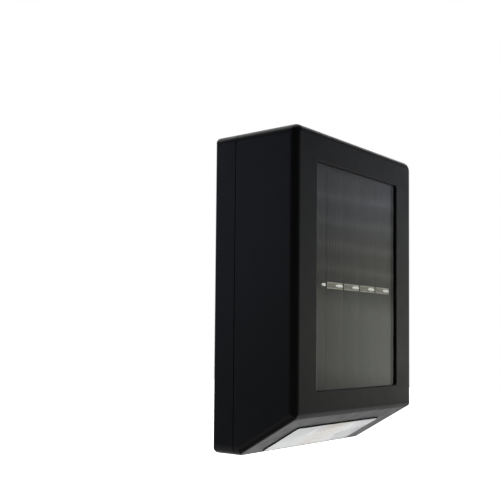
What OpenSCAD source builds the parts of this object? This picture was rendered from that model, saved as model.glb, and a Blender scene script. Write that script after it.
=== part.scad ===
// Solar wall light: a shallow black box that hangs on a wall. A solar panel fills its front window,
// and a lens in its slanted underside washes the wall below it.
// Frame: X to the right as seen from the front, Z up. The wall is the plane Y = 0 and the front
// faces -Y. The origin is the centre of the back face.

/* [Body] */
// Width of the housing
body_w = 85; // [78:1:110]
// Height of the housing
body_h = 120; // [108:1:150]
// Depth from the wall to the front face
body_d = 38; // [34:0.5:48]
// Height of the front face's lower edge above the underside
chin_h = 15.4; // [12:0.2:18.6]
// Radius of the outline's corners
corner_r = 3.8; // [2.6:0.1:5]
// Radius of the edges around the front face
edge_r = 2.6; // [1.4:0.1:3.4]
// Radius of the rear edges
rear_edge_r = 0.8; // [0.3:0.1:1.2]
// Thickness of the moulded walls
wall = 2.2; // [1.8:0.1:2.8]
// Depth of the rear cover, from the wall to the seam
cover_d = 9.8; // [8.2:0.1:12]
// Depth of the strip between the seam and the slanted underside
sill_t = 1.4; // [1.1:0.1:2.4]
// Shadow gap at the seam
seam_gap = 0.35; // [0.2:0.05:0.6]

/* [Window and solar panel] */
// Frame width beside the window
window_side = 13; // [12:0.5:18]
// Frame width above the window
window_top = 11.3; // [10.5:0.1:16]
// Frame width below the window, down to the front face's lower edge
window_bottom = 8.5; // [8:0.5:16]
// Radius of the window's corners
window_r = 1.2; // [0.6:0.1:2.4]
// Thickness of the lip in front of the pane
lip_t = 0.8; // [0.8:0.1:1.6]
// Thickness of the clear pane
pane_t = 1.6; // [1.2:0.1:2.4]
// Width of the shallow bevel inside the window's edge
bevel_w = 0.4; // [0.4:0.1:1.4]
// Depth of that bevel
bevel_d = 0.2; // [0.2:0.05:0.6]
// Width of the lip's overlap on the pane
pane_overlap = 1.9; // [1.4:0.1:2.2]
// Thickness of the adhesive tape frame
tape_t = 0.8; // [0.6:0.1:1.2]
// Thickness of the panel's backing board
panel_t = 1.6; // [1:0.1:2]
// Number of solar cells side by side
cell_count = 4; // [2:1:5]
// Gap between cells
cell_gap = 0.5; // [0.2:0.1:1]
// Thickness of a cell
cell_t = 0.2; // [0.15:0.05:0.3]
// Distance from the window's left edge to the first cell
cell_left = 9.6; // [6:0.1:12]
// Distance from the last cell to the window's right edge
cell_right = 2.9; // [2:0.1:8]
// Distance from the window's centre down to the row of joints between the cells
ribbon_drop = 3; // [-10:0.1:10]
// Height of the contact pad across each cell
pad_w = 2.4; // [1.5:0.1:3]
// Length of the soldered ribbon at the right end of each pad
ribbon_l = 5; // [3:0.1:6]
// Thickness of the pads, and of the ribbons on them
ribbon_t = 0.15; // [0.1:0.05:0.2]

/* [Lens and lamp] */
// Width of the strip beside the lens
lens_side = 13.7; // [11:0.1:16]
// Length of the two low ribs on the lens's inner face
lens_rib_l = 9; // [6:0.5:10]
// Width of those ribs
lens_rib_w = 5; // [3:0.5:6]
// Width of the strip behind the lens
lens_rear = 1.5; // [0.7:0.1:1.8]
// Width of the strip in front of the lens
lens_front = 9.6; // [5:0.1:10.4]
// Radius of the lens's corners
lens_r = 1.2; // [0.6:0.1:2]
// Thickness of the lens's flange
lens_flange_t = 1.2; // [0.8:0.1:1.6]
// How far the lens stands out of the slanted face
lens_proud = 0.4; // [0.1:0.1:0.8]
// Reach of the lens's flange behind the housing
lens_flange_w = 1.6; // [1:0.1:1.9]
// Depth of the reflector tray
reflector_d = 6.1; // [5.6:0.1:8]
// Wall thickness of the reflector tray
reflector_t = 1; // [0.8:0.1:1.4]
// Number of light emitting diodes
led_count = 2; // [1:1:3]
// Side of a light emitting diode's square package
led_size = 5; // [3:0.5:5]
// Height of a light emitting diode's package
led_t = 1.6; // [1:0.1:2]
// Distance from one light emitting diode to the next
led_pitch = 12; // [8:0.5:12]
// Width of the lamp's circuit board
led_board_w = 34; // [30:1:40]
// Thickness of the lamp's circuit board
led_board_t = 1.6; // [1:0.1:2]

/* [Battery bay] */
// Height of the bay's centre above the housing's centre
bay_z = -12; // [-14:0.5:-10]
// Diameter of the battery
battery_d = 14.5; // [10.5:0.1:14.5]
// Length of the battery, with its button
battery_l = 50.5; // [42:0.1:50.5]
// Room for the spring at the battery's flat end
spring_l = 6.6; // [4:0.1:8]
// Wall thickness of the bay
bay_wall = 1.4; // [1:0.1:1.8]
// Clearance around the battery
bay_fit = 0.35; // [0.25:0.05:0.8]
// Thickness of the battery door
door_t = 1.5; // [1.2:0.1:2]
// Thickness of the door's seal
seal_t = 0.5; // [0.4:0.1:1]
// Width of the door's seal
seal_w = 1.4; // [1:0.1:1.8]
// Gap around the battery door
door_gap = 0.3; // [0.25:0.05:0.5]
// Radius of the door's hinge pins
hinge_pin_r = 0.7; // [0.5:0.05:0.8]

/* [Control board and switch] */
// Width of the control board
board_w = 34; // [30:1:36]
// Height of the control board
board_h = 26; // [24:1:28]
// Thickness of the control board
board_t = 1.6; // [1:0.1:2]
// Height of the control board's centre above the housing's centre
board_z = 17.5; // [17:0.5:19]
// Height of the switch's body off the board
switch_t = 3.5; // [3:0.1:4.5]
// Travel of the switch's knob
switch_travel = 3; // [2:0.5:4]
// Width of the switch's knob
knob_w = 2; // [1.6:0.1:3]

/* [Wall hanging] */
// Distance between the two keyholes
keyhole_spacing = 48; // [44:1:54]
// Distance from the top of the housing to the keyholes' round entries
keyhole_drop = 19; // [17:0.5:22]
// Radius of a keyhole's round entry
keyhole_r = 3.8; // [3.2:0.1:4.2]
// Width of a keyhole's slot
keyhole_slot_w = 4; // [3:0.1:5]
// Rise from a keyhole's entry to the end of its slot
keyhole_rise = 6; // [5:0.5:7]
// Depth of the pocket that takes the screw's head
keyhole_pocket_d = 4.6; // [4.2:0.1:6]

/* [Screws] */
// Gap between the screws' bosses and the cover's tongue
boss_gap = 0.25; // [0.2:0.05:0.5]
// Distance of the upper housing screws from the top
screw_top = 8; // [7.5:0.5:9]
// Distance of the lower housing screws above the front's lower edge
screw_bottom = 7; // [6:0.5:10]
// Radius of the housing screws' thread
screw_r = 1.25; // [1:0.05:1.4]
// Length of the housing screws under the head
screw_l = 16; // [12:0.5:20]
// Depth of the housing screws' heads below the back face
screw_sink = 4; // [3:0.1:5]

/* [Hidden] */
$fn = 64;

// Small fits and details
eps = 0.01;
fit = 0.15;               // running gap between moulded pieces
groove_fit = 0.1;         // gap beside the gasket in its groove
thread_fit = 0.05;        // gap between a screw's thread and its hole
min_r = 0.6;              // smallest inner corner radius
ball_share = 1.06;        // the ball on a low front corner, as a share of the edge radius
face_t = lip_t + pane_t;  // thickness of the front wall
chin_d = cover_d + sill_t;
slope_a = atan2(chin_h, body_d - chin_d);
slope_l = norm([chin_h, body_d - chin_d]);

// Window, pane and panel sizes
window_w = body_w - 2 * window_side;
window_h = body_h - window_top - chin_h - window_bottom;
window_z = body_h / 2 - window_top - window_h / 2;
pane_w = window_w + 2 * pane_overlap;
pane_h = window_h + 2 * pane_overlap;
pane_y = -body_d + lip_t;
tape_lap = 1.6;           // reach of the tape over the housing around the pane
panel_w = pane_w + 2 * tape_lap;
panel_h = pane_h + 2 * tape_lap;
tape_y = pane_y + pane_t;
panel_y = tape_y + tape_t;
cell_margin = 2.2;        // strip of bare board above and below the cells
cell_h = window_h - 2 * cell_margin;
cell_pitch = (window_w - cell_left - cell_right + cell_gap) / cell_count;
pad_margin = 0.3;         // bare cell at each end of a pad
ribbon_w = 1.4;           // height of a soldered ribbon
ribbon_lead = 2.8;        // short ribbon end beside the first cell
ribbon_lead_gap = 0.3;    // gap between that end and the cell
guide_t = 1.2;            // locating ribs beside the panel board
guide_l = 8;
guide_h = 2.6;

// Lens and lamp, measured on the slanted underside
lens_w = body_w - 2 * lens_side;
lens_l = slope_l - lens_rear - lens_front;
lens_y = lens_rear + lens_l / 2;
flange_in = wall;                          // depth at which the flange starts
reflector_in = flange_in + lens_flange_t;  // depth at which the reflector starts
reflector_w = lens_w - 2.4;
reflector_l = lens_l - 2.4;
led_board_in = reflector_in + reflector_d;
led_board_l = min(14, reflector_l - 4);
led_hole_r = 3.9;
led_dome_r = 1.7;
lens_rib_t = 0.8;
lens_rib_r = (lens_rib_w * lens_rib_w / 4 + lens_rib_t * lens_rib_t) / (2 * lens_rib_t);
lens_rib_x = lens_w * 0.21;
// The tray's floor is narrower than its mouth: how far its front wall leans in at the ribs' depth
tray_lean = lens_rib_t * ((reflector_l - led_board_l) / 2 - reflector_t + 1) / (reflector_d - reflector_t);
// The ribs start behind that wall
lens_rib_inset = (lens_l - reflector_l) / 2 + reflector_t + tray_lean + fit;
ear_l = 6.4;              // the reflector's screw ears
ear_t = 1.5;
ear_in = reflector_in + 3.1;
ear_boss_r = 2.3;
ear_x = lens_w / 2 + lens_flange_w + ear_boss_r + 0.4;
ear_rim = 2.6;            // ear beyond its screw
ear_screw_r = 0.95;
ear_screw_l = 4.2;
ear_head_r = 1.8;
ear_head_t = 1.4;

// Seam between the rear cover and the front housing
tongue_t = 1.2;
tongue_h = 2.4;
tongue_cut = 9;           // the tongue stops this far above the underside, clear of the lens
rim_t = wall + fit + tongue_t;
back_t = 2.2;
gasket_in = 0.7;
gasket_w = 1.1;
gasket_groove = 0.5;

// Housing screws, their pillars in the cover and bosses in the front housing
screw_z = [body_h / 2 - screw_top, -body_h / 2 + chin_h + screw_bottom];
boss_r = 2.5;
screw_x = body_w / 2 - rim_t - boss_gap - boss_r;
pillar_r = 4.2;
head_r = 2.7;
head_t = 2;
head_hole_r = 3;
shank_hole_r = screw_r + 0.35;
pilot_depth = screw_l - (cover_d - screw_sink) + 2;
drive_w = 0.7;            // cross recess in a screw head
drive_l = 2.4;
drive_d = 1;

// Keyholes
keyhole_x = keyhole_spacing / 2;
keyhole_z = body_h / 2 - keyhole_drop;
pocket_r = keyhole_r + 0.4;
pocket_wall = 1.2;

// Battery bay
plate_t = 0.4;
bay_l = battery_l + spring_l + 2 * plate_t;
bay_h = battery_d + 2 * bay_fit;
door_out = 0.15;          // the door lies this far below the back face
door_in = door_out + door_t;
ledge_in = door_in + seal_t;
bay_floor = ledge_in + 0.9 + battery_d + bay_fit;
battery_y = -(ledge_in + 0.9 + battery_d / 2);
seal_in = 0.3;            // strip of ledge inside the seal
door_side = seal_in + seal_w + 0.7;
barrel_r = 1.15;
axis_in = door_out + barrel_r;
axis_z = bay_z + bay_h / 2 + seal_in + seal_w + 0.5 + barrel_r;
door_w = bay_l + 2 * door_side;
door_low = bay_z - bay_h / 2 - door_side;
pin_l = 1.3;
frame_t = 1.8;            // material around the door's recess
frame_d = ledge_in + 1.9;
nose_w = 10;
nose_h = 0.2;
nose_t = 0.5;
scoop_r = 6;
scoop_d = 1.3;
button_r = 2.6;           // the battery's button
button_l = 1.2;
tab_w = 3;
tab_l = 3.4;
tab_y = -10;
contact_w = 9;
spring_wire_r = 0.35;
spring_r = 4.2;
spring_turns = 3.5;

// Control board and switch
lever_out = 0.7;          // the knob's tip lies this far below the back face
switch_gap = 0.3;
board_y = -(back_t + switch_gap + switch_t);
switch_w = 9.2;
switch_h = 4.6;
lever_h = 1.8;
slider_w = 3.2;
slider_h = 2.6;
slider_t = 1.1;
roof_t = 0.5;
finger_w = 13;
finger_h = 8;
finger_d = 0.8;
post_r = 2.3;
post_x = board_w / 2 - 3.4;
post_z = board_h / 2 - 3.4;
post_screw_r = 0.95;
post_screw_l = 4.4;
chip_size = [5, 4, 1.5];
chip_at = [-7, -5];
chip_lead = [0.4, 1, 0.2];
inductor_r = 3;
inductor_t = 4.2;
inductor_at = [7, 5];
capacitor_r = 2.5;
capacitor_t = 5;
capacitor_at = [-2, 6];

// Leads between the boards: round numbers along each route
lead_r = 0.6;
lead_sides = 8;
lead_steps = 4;           // rings between two points of a route
lead_pair = 2.2;          // distance between the two leads of a pair
// Middle of the lamp board's back, as its Y and Z
lamp_back = [-chin_d - lens_y * cos(slope_a) + (led_board_in + led_board_t + 0.05) * sin(slope_a),
             -body_h / 2 + lens_y * sin(slope_a) + (led_board_in + led_board_t + 0.05) * cos(slope_a)];

charcoal = [0.05, 0.05, 0.055];
clear = [0.75, 0.8, 0.82, 0.35];

// ---- Shared shapes ----

function unit(v) = v / norm(v);

// A polygon whose corners are true arcs: the chords join the tangent points, and a disc fills
// each corner.
module rounded(points, radii) {
  n = len(points);
  corners = [for (i = [0:n - 1])
    let (a = unit(points[(i + n - 1) % n] - points[i]),
         b = unit(points[(i + 1) % n] - points[i]),
         half = acos(a * b) / 2)
    [points[i] + a * radii[i] / tan(half),
     points[i] + b * radii[i] / tan(half),
     points[i] + unit(a + b) * radii[i] / sin(half)]];
  polygon([for (c = corners) for (p = [c[0], c[1]]) p]);
  for (i = [0:n - 1]) translate(corners[i][2]) circle(r = radii[i]);
}

module rounded_rect(w, h, r) {
  rounded([[-w / 2, -h / 2], [w / 2, -h / 2], [w / 2, h / 2], [-w / 2, h / 2]], [r, r, r, r]);
}

// Takes a shape drawn in X and Z and gives it depth from y0 to y1, towards the front
module depth(y0, y1) {
  translate([0, y0, 0]) rotate([90, 0, 0]) linear_extrude(y0 - y1) children();
}

// A round bar along Y from y0 to y1, towards the front
module bar(x, z, r, y0, y1) {
  translate([x, y0, z]) rotate([90, 0, 0]) cylinder(r = r, h = y0 - y1);
}

// A box given by its two opposite corners
module block(low, high) {
  translate(low) cube(high - low);
}

// Places a shape on the slanted underside: Y runs up the slant from its rear edge, and Z leaves
// the housing
module on_slope() {
  translate([0, -chin_d, -body_h / 2]) rotate([180 - slope_a, 0, 0]) children();
}

// A block whose end at z = 0 measures w0 by l0 and whose end at z = t measures w1 by l1
module taper(w0, l0, w1, l1, t) {
  intersection() {
    translate([0, max(l0, l1) / 2, 0]) rotate([90, 0, 0]) linear_extrude(max(l0, l1))
      polygon([[-w0 / 2, 0], [w0 / 2, 0], [w1 / 2, t], [-w1 / 2, t]]);
    translate([-max(w0, w1) / 2, 0, 0]) rotate([90, 0, 90]) linear_extrude(max(w0, w1))
      polygon([[-l0 / 2, 0], [l0 / 2, 0], [l1 / 2, t], [-l1 / 2, t]]);
  }
}

// The outline seen from the front, moved in by an inset
module outline(inset) {
  rounded_rect(body_w - 2 * inset, body_h - 2 * inset, max(corner_r - inset, min_r));
}

// A flat ring that follows the outline
module outline_ring(inset, width) {
  difference() {
    outline(inset);
    outline(inset + width);
  }
}

// The whole body's shape, moved in by the side inset and the front inset
module body_form(inset = 0, front_inset = 0) {
  half_w = body_w / 2 - inset;
  low = -body_h / 2 + inset;
  high = body_h / 2 - inset;
  front = -body_d + front_inset;
  bend = -chin_d + inset * tan(slope_a / 2);
  front_low = low + (bend - front) * tan(slope_a);
  r = max(edge_r - inset, min_r);
  rear_r = inset > 0 ? min_r : rear_edge_r;
  reach = body_h + body_d;
  difference() {
    intersection() {
      depth(0, -body_d) outline(inset);
      translate([0, 0, -body_h / 2]) linear_extrude(body_h)
        rounded([[-half_w, 0], [-half_w, front], [half_w, front], [half_w, 0]], [rear_r, r, r, rear_r]);
      translate([-body_w / 2, 0, 0]) rotate([90, 0, 90]) linear_extrude(body_w)
        rounded([[0, high], [front, high], [front, front_low], [bend, low], [0, low]],
                [rear_r, r, r, min_r, rear_r]);
      on_slope() translate([0, reach, 0]) rotate([90, 0, 0]) linear_extrude(2 * reach)
        rounded([[-half_w, -inset], [half_w, -inset], [half_w, -2 * body_h], [-half_w, -2 * body_h]],
                [r, r, r, r]);
    }
    if (inset == 0) for (side = [0, 1]) mirror([side, 0, 0]) {
      translate([half_w - corner_r, front + r, high - corner_r]) top_corner_waste(r);
      translate([half_w - r, front + r, front_low - r * tan(slope_a) + r / cos(slope_a)])
        low_corner_waste(r);
    }
  }
}

// What a top front corner loses, where the outline's curve runs into the front edge's rounding
module top_corner_waste(r) {
  difference() {
    block([0, -2 * r, 0], [corner_r + 1, 0, corner_r + 1]);
    rotate([90, 0, 0]) rotate_extrude() intersection() {
      rounded([[-corner_r, -2 * r], [corner_r, -2 * r], [corner_r, r], [-corner_r, r]], [r, r, r, r]);
      translate([0, -2 * r]) square([corner_r, 3 * r]);
    }
  }
}

// What a low front corner loses, where three roundings meet in a ball
module low_corner_waste(r) {
  reach = 3 * r;
  difference() {
    rotate([90, 0, 90]) linear_extrude(r + 1)
      polygon([[0, 0], [-reach, 0], [-reach * (1 + sin(slope_a)), -reach * cos(slope_a)],
               [-reach * sin(slope_a), -reach * cos(slope_a)]]);
    sphere(r = r * ball_share);
  }
}

module cross_recess(size, slot, deep) {
  for (a = [0, 90]) rotate([0, 0, a]) translate([-size / 2, -slot / 2, -deep]) cube([size, slot, deep + eps]);
}

// A pan head screw that points along -Z, its head's underside at z = 0
module pan_screw(r, l, top_r, top_t) {
  difference() {
    union() {
      cylinder(r = top_r, h = top_t * 0.6);
      translate([0, 0, top_t * 0.6]) cylinder(r1 = top_r, r2 = top_r * 0.7, h = top_t * 0.4);
      translate([0, 0, -l * 0.85]) cylinder(r = r, h = l * 0.85);
      translate([0, 0, -l]) cylinder(r1 = r * 0.3, r2 = r, h = l * 0.15);
    }
    translate([0, 0, top_t]) cross_recess(drive_l, drive_w, drive_d * top_t / head_t);
  }
}

// Points along a smooth curve through a list of points
function curve_at(a, b, c, d, t) =
  0.5 * (2 * b + (c - a) * t + (2 * a - 5 * b + 4 * c - d) * t * t + (3 * b - 3 * c + d - a) * t * t * t);
function smooth(points, steps) = let (n = len(points)) concat(
  [for (i = [0:n - 2]) for (s = [0:steps - 1])
    curve_at(points[max(i - 1, 0)], points[i], points[i + 1], points[min(i + 2, n - 1)], s / steps)],
  [points[n - 1]]);

// A round tube of the given radius that follows a list of points
module tube_along(path, r, sides) {
  n = len(path);
  tangents = [for (i = [0:n - 1]) unit(path[min(i + 1, n - 1)] - path[max(i - 1, 0)])];
  first = unit(cross(tangents[0], abs(tangents[0].z) > 0.9 ? [1, 0, 0] : [0, 0, 1]));
  normals = [for (i = 0, v = first; i < n;
    v = i + 1 < n ? unit(v - (v * tangents[i + 1]) * tangents[i + 1]) : v, i = i + 1) v];
  rings = [for (i = [0:n - 1]) let (side = cross(tangents[i], normals[i]))
    for (k = [0:sides - 1]) path[i] + r * (cos(360 * k / sides) * normals[i] + sin(360 * k / sides) * side)];
  walls = [for (i = [0:n - 2]) for (k = [0:sides - 1]) let (m = (k + 1) % sides)
    [i * sides + k, (i + 1) * sides + k, (i + 1) * sides + m, i * sides + m]];
  ends = [[for (k = [0:sides - 1]) k], [for (k = [sides - 1:-1:0]) (n - 1) * sides + k]];
  polyhedron(rings, concat(walls, ends), convexity = 6);
}

// ---- Housing ----

module window_hole(y0, y1) {
  translate([0, 0, window_z]) depth(y0, y1)
    rounded_rect(window_w - 2 * bevel_w, window_h - 2 * bevel_w, window_r);
}

module front_housing() {
  seam = -(cover_d + seam_gap);
  color(charcoal) difference() {
    union() {
      difference() {
        body_form();
        body_form(wall, face_t);
        block([-body_w, seam, -body_h], [body_w, body_d, body_h]);
      }
      for (s = [-1, 1]) for (z = screw_z) {
        bar(s * screw_x, z, boss_r, -cover_d, -body_d + face_t - eps);
        block([min(s * screw_x, s * (body_w / 2 - wall / 2)), -body_d + face_t - eps, z - 0.6],
              [max(s * screw_x, s * (body_w / 2 - wall / 2)), -(cover_d + tongue_h + 1), z + 0.6]);
      }
      for (s = [-1, 1]) on_slope() translate([s * ear_x, lens_y, -ear_in])
        cylinder(r = ear_boss_r, h = ear_in - wall + eps);
      for (x = [-1, 1]) for (z = [-1, 1])
        translate([x * panel_w / 4, 0, window_z + z * (panel_h / 2 + fit + guide_t / 2)])
          block([-guide_l / 2, tape_y - eps, -guide_t / 2], [guide_l / 2, tape_y + guide_h, guide_t / 2]);
    }
    window_hole(-body_d + eps + lip_t, -body_d - 1);
    translate([0, -body_d, window_z]) rotate([-90, 0, 0])
      taper(window_w, window_h, window_w - 2 * bevel_w, window_h - 2 * bevel_w, bevel_d);
    translate([0, 0, window_z]) depth(tape_y + eps, pane_y)
      rounded_rect(pane_w + 2 * fit, pane_h + 2 * fit, window_r);
    on_slope() translate([0, lens_y, -wall - 1]) linear_extrude(wall + 2)
      rounded_rect(lens_w, lens_l, lens_r);
    for (s = [-1, 1]) for (z = screw_z)
      bar(s * screw_x, z, screw_r + thread_fit, -cover_d + 1, -cover_d - pilot_depth);
    for (s = [-1, 1]) on_slope() translate([s * ear_x, lens_y, -ear_in - 1])
      cylinder(r = ear_screw_r + thread_fit, h = ear_screw_l + 1);
  }
}

// A keyhole's closed pocket behind the back plate, and the cuts that open it
module keyhole_pocket(s) {
  r = pocket_r + pocket_wall;
  block([s * keyhole_x - r, -back_t - keyhole_pocket_d - pocket_wall, keyhole_z - r],
        [s * keyhole_x + r, -back_t + eps, keyhole_z + keyhole_rise + r]);
}

module keyhole_cut(s) {
  bar(s * keyhole_x, keyhole_z, keyhole_r, 1, -back_t - 1);
  block([s * keyhole_x - keyhole_slot_w / 2, -back_t - 1, keyhole_z],
        [s * keyhole_x + keyhole_slot_w / 2, 1, keyhole_z + keyhole_rise]);
  bar(s * keyhole_x, keyhole_z + keyhole_rise, keyhole_slot_w / 2, 1, -back_t - 1);
  for (z = [keyhole_z, keyhole_z + keyhole_rise])
    bar(s * keyhole_x, z, pocket_r, -back_t, -back_t - keyhole_pocket_d);
  block([s * keyhole_x - pocket_r, -back_t - keyhole_pocket_d, keyhole_z],
        [s * keyhole_x + pocket_r, -back_t, keyhole_z + keyhole_rise]);
}

// The slot for the switch's knob, in a shallow recess for a fingertip
module switch_hole() {
  translate([0, 0, board_z]) {
    block([-(knob_w + switch_travel) / 2 - switch_gap, -back_t - 1, -lever_h / 2 - switch_gap],
          [(knob_w + switch_travel) / 2 + switch_gap, 1, lever_h / 2 + switch_gap]);
    depth(1, -finger_d) rounded_rect(finger_w, finger_h, finger_h / 2 - eps);
  }
}

// Where the battery door lies in the cover's back: its recess, its latch groove, its hinge
// sockets and a scoop for a fingertip
module door_recess() {
  half_w = door_w / 2 + door_gap;
  low = door_low - door_gap;
  high = axis_z + barrel_r + door_gap;
  block([-half_w, -ledge_in, low], [half_w, 1, high]);
  block([-half_w, -axis_in - barrel_r - door_gap, axis_z - barrel_r - door_gap], [half_w, 1, high]);
  block([-nose_w / 2 - 1, -door_in - fit, low - nose_h], [nose_w / 2 + 1, -door_in + nose_t + fit, bay_z]);
  for (s = [-1, 1])
    translate([s * (door_w / 2 - 1), -axis_in, axis_z]) rotate([0, s * 90, 0])
      cylinder(r = hinge_pin_r + thread_fit, h = pin_l + 1 + door_gap);
  translate([0, scoop_r - scoop_d, low]) cylinder(r = scoop_r, h = 4 * scoop_d, center = true);
}

module rear_cover() {
  tub_w = bay_l / 2 + bay_wall;
  tub_h = bay_h / 2 + bay_wall;
  color(charcoal) difference() {
    union() {
      intersection() {
        body_form();
        block([-body_w, -cover_d, -body_h], [body_w, 1, body_h]);
      }
      depth(-back_t, -cover_d - tongue_h) outline(wall + fit);
    }
    depth(-back_t, -2 * body_d) outline(rim_t);
    block([-body_w, -2 * body_d, -body_h], [body_w, -cover_d, -body_h / 2 + tongue_cut]);
    depth(-cover_d + gasket_groove, -cover_d - eps) outline_ring(gasket_in, gasket_w + groove_fit);
    rear_cuts();
  }
  color(charcoal) difference() {
    union() {
      for (s = [-1, 1]) for (z = screw_z) bar(s * screw_x, z, pillar_r, -back_t + eps, -cover_d);
      block([-door_w / 2 - door_gap - frame_t, -frame_d, door_low - door_gap - frame_t],
            [door_w / 2 + door_gap + frame_t, -back_t + eps, axis_z + barrel_r + door_gap + frame_t]);
      block([-tub_w, -bay_floor - bay_wall, bay_z - tub_h], [tub_w, -back_t + eps, bay_z + tub_h]);
      for (s = [-1, 1]) keyhole_pocket(s);
      for (s = [-1, 1]) bar(s * post_x, board_z + s * post_z, post_r, -back_t + eps, board_y);
    }
    rear_cuts();
  }
}

// Every cut into the rear cover from outside, and the holes in what stands on its inside
module rear_cuts() {
  door_recess();
  block([-bay_l / 2, -bay_floor, bay_z - bay_h / 2], [bay_l / 2, 1, bay_z + bay_h / 2]);
  block([-bay_l, tab_y - plate_t / 2 - fit, bay_z - tab_w / 2 - fit],
        [bay_l, tab_y + plate_t / 2 + fit, bay_z + tab_w / 2 + fit]);
  switch_hole();
  for (s = [-1, 1]) {
    keyhole_cut(s);
    bar(s * post_x, board_z + s * post_z, post_screw_r + thread_fit, board_y + post_screw_l, board_y - 1);
    for (z = screw_z) {
      bar(s * screw_x, z, head_hole_r, 1, -screw_sink);
      bar(s * screw_x, z, shank_hole_r, 1, -cover_d - 1);
    }
  }
}

module housing_gasket() {
  color([0.12, 0.12, 0.12]) depth(-cover_d + gasket_groove, -cover_d - seam_gap)
    outline_ring(gasket_in + groove_fit / 2, gasket_w - groove_fit / 2);
}

module housing_screws() {
  color("silver") for (s = [-1, 1]) for (z = screw_z)
    translate([s * screw_x, -screw_sink, z]) rotate([-90, 0, 0])
      pan_screw(screw_r, screw_l, head_r, head_t);
}

// ---- Solar panel, from the front to the back ----

module panel_window() {
  color(clear) translate([0, 0, window_z]) depth(tape_y, pane_y) rounded_rect(pane_w, pane_h, window_r);
}

module panel_tape() {
  color([0.1, 0.1, 0.1]) translate([0, 0, window_z]) depth(panel_y, tape_y) difference() {
    square([panel_w, panel_h], center = true);
    rounded_rect(window_w + 2 * fit, window_h + 2 * fit, window_r);
  }
}

module panel_board() {
  color([0.08, 0.1, 0.12]) translate([0, 0, window_z]) depth(panel_y + panel_t, panel_y)
    square([panel_w, panel_h], center = true);
}

// Left edge of a cell, counted from 0
function cell_x(i) = -window_w / 2 + cell_left + i * cell_pitch;

module solar_cells() {
  color([0.13, 0.14, 0.17]) for (i = [0:cell_count - 1])
    block([cell_x(i), panel_y - cell_t, window_z - cell_h / 2],
          [cell_x(i) + cell_pitch - cell_gap, panel_y, window_z + cell_h / 2]);
}

module cell_ribbons() {
  y = panel_y - cell_t;
  z = window_z - ribbon_drop;
  color("gainsboro") {
    block([cell_x(0) - ribbon_lead - ribbon_lead_gap, panel_y - ribbon_t, z - ribbon_w / 2],
          [cell_x(0) - ribbon_lead_gap, panel_y, z + ribbon_w / 2]);
    for (i = [0:cell_count - 1]) {
      pad_end = cell_x(i) + cell_pitch - cell_gap - pad_margin;
      block([cell_x(i) + pad_margin, y - ribbon_t, z - pad_w / 2], [pad_end, y, z + pad_w / 2]);
      block([pad_end - ribbon_l, y - 2 * ribbon_t, z - ribbon_w / 2],
            [pad_end, y - ribbon_t + eps, z + ribbon_w / 2]);
    }
  }
}

// ---- Lens and lamp ----

module light_lens() {
  color(clear) on_slope() {
    translate([0, lens_y, -wall]) linear_extrude(wall + lens_proud)
      rounded_rect(lens_w - 2 * fit, lens_l - 2 * fit, lens_r);
    // The flange lies behind the housing on both sides and in front
    block([-lens_w / 2 - lens_flange_w, lens_rear + fit, -reflector_in],
          [lens_w / 2 + lens_flange_w, lens_rear + lens_l + lens_flange_w, -flange_in]);
    // Two low rounded ribs on the inner face spread the light sideways
    for (s = [-1, 1]) translate([s * lens_rib_x, lens_rear + lens_l - lens_rib_inset, -reflector_in])
      intersection() {
        translate([0, 0, lens_rib_r - lens_rib_t]) rotate([90, 0, 0])
          cylinder(r = lens_rib_r, h = lens_rib_l);
        block([-lens_rib_w, -lens_rib_l, -lens_rib_t], [lens_rib_w, 0, eps]);
      }
  }
}

module reflector() {
  floor_in = reflector_d - reflector_t;
  color("white") on_slope() translate([0, lens_y, -reflector_in]) difference() {
    union() {
      translate([-reflector_w / 2, -reflector_l / 2, -reflector_d])
        cube([reflector_w, reflector_l, reflector_d]);
      translate([-ear_x - ear_rim, -ear_l / 2, reflector_in - ear_in - ear_t])
        cube([2 * (ear_x + ear_rim), ear_l, ear_t]);
    }
    translate([0, 0, -floor_in])
      taper(led_board_w - 2, led_board_l - 2,
            reflector_w - 2 * reflector_t, reflector_l - 2 * reflector_t, floor_in + eps);
    for (i = [0:led_count - 1])
      translate([led_x(i), 0, -reflector_d - 1]) cylinder(r = led_hole_r, h = reflector_t + 2);
    for (s = [-1, 1]) translate([s * ear_x, 0, -reflector_d - 1])
      cylinder(r = ear_screw_r + 2 * fit, h = reflector_d);
  }
}

function led_x(i) = (i - (led_count - 1) / 2) * led_pitch;

module led_board() {
  color([0.9, 0.9, 0.88]) on_slope()
    translate([-led_board_w / 2, lens_y - led_board_l / 2, -led_board_in - led_board_t])
      cube([led_board_w, led_board_l, led_board_t]);
}

module leds() {
  color([0.95, 0.85, 0.4]) on_slope() for (i = [0:led_count - 1])
    translate([led_x(i), lens_y, -led_board_in]) {
      translate([-led_size / 2, -led_size / 2, 0]) cube([led_size, led_size, led_t]);
      translate([0, 0, led_t - eps]) cylinder(r = led_dome_r, h = 0.3);
    }
}

module reflector_screws() {
  color("silver") on_slope() for (s = [-1, 1])
    translate([s * ear_x, lens_y, -ear_in - ear_t]) rotate([180, 0, 0])
      pan_screw(ear_screw_r, ear_screw_l, ear_head_r, ear_head_t);
}

// ---- Control board and switch ----

module control_board() {
  color([0.05, 0.35, 0.2]) difference() {
    block([-board_w / 2, board_y - board_t, board_z - board_h / 2],
          [board_w / 2, board_y, board_z + board_h / 2]);
    for (s = [-1, 1])
      bar(s * post_x, board_z + s * post_z, post_screw_r + 2 * fit, board_y + 1, board_y - board_t - 1);
  }
}

module board_screws() {
  color("silver") for (s = [-1, 1])
    translate([s * post_x, board_y - board_t, board_z + s * post_z]) rotate([90, 0, 0])
      pan_screw(post_screw_r, post_screw_l, ear_head_r, ear_head_t);
}

// Stands a shape, drawn upwards from z = 0, on the control board's inner side
module on_board(at) {
  translate([at.x, board_y - board_t, board_z + at.y]) rotate([90, 0, 0]) children();
}

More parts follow.
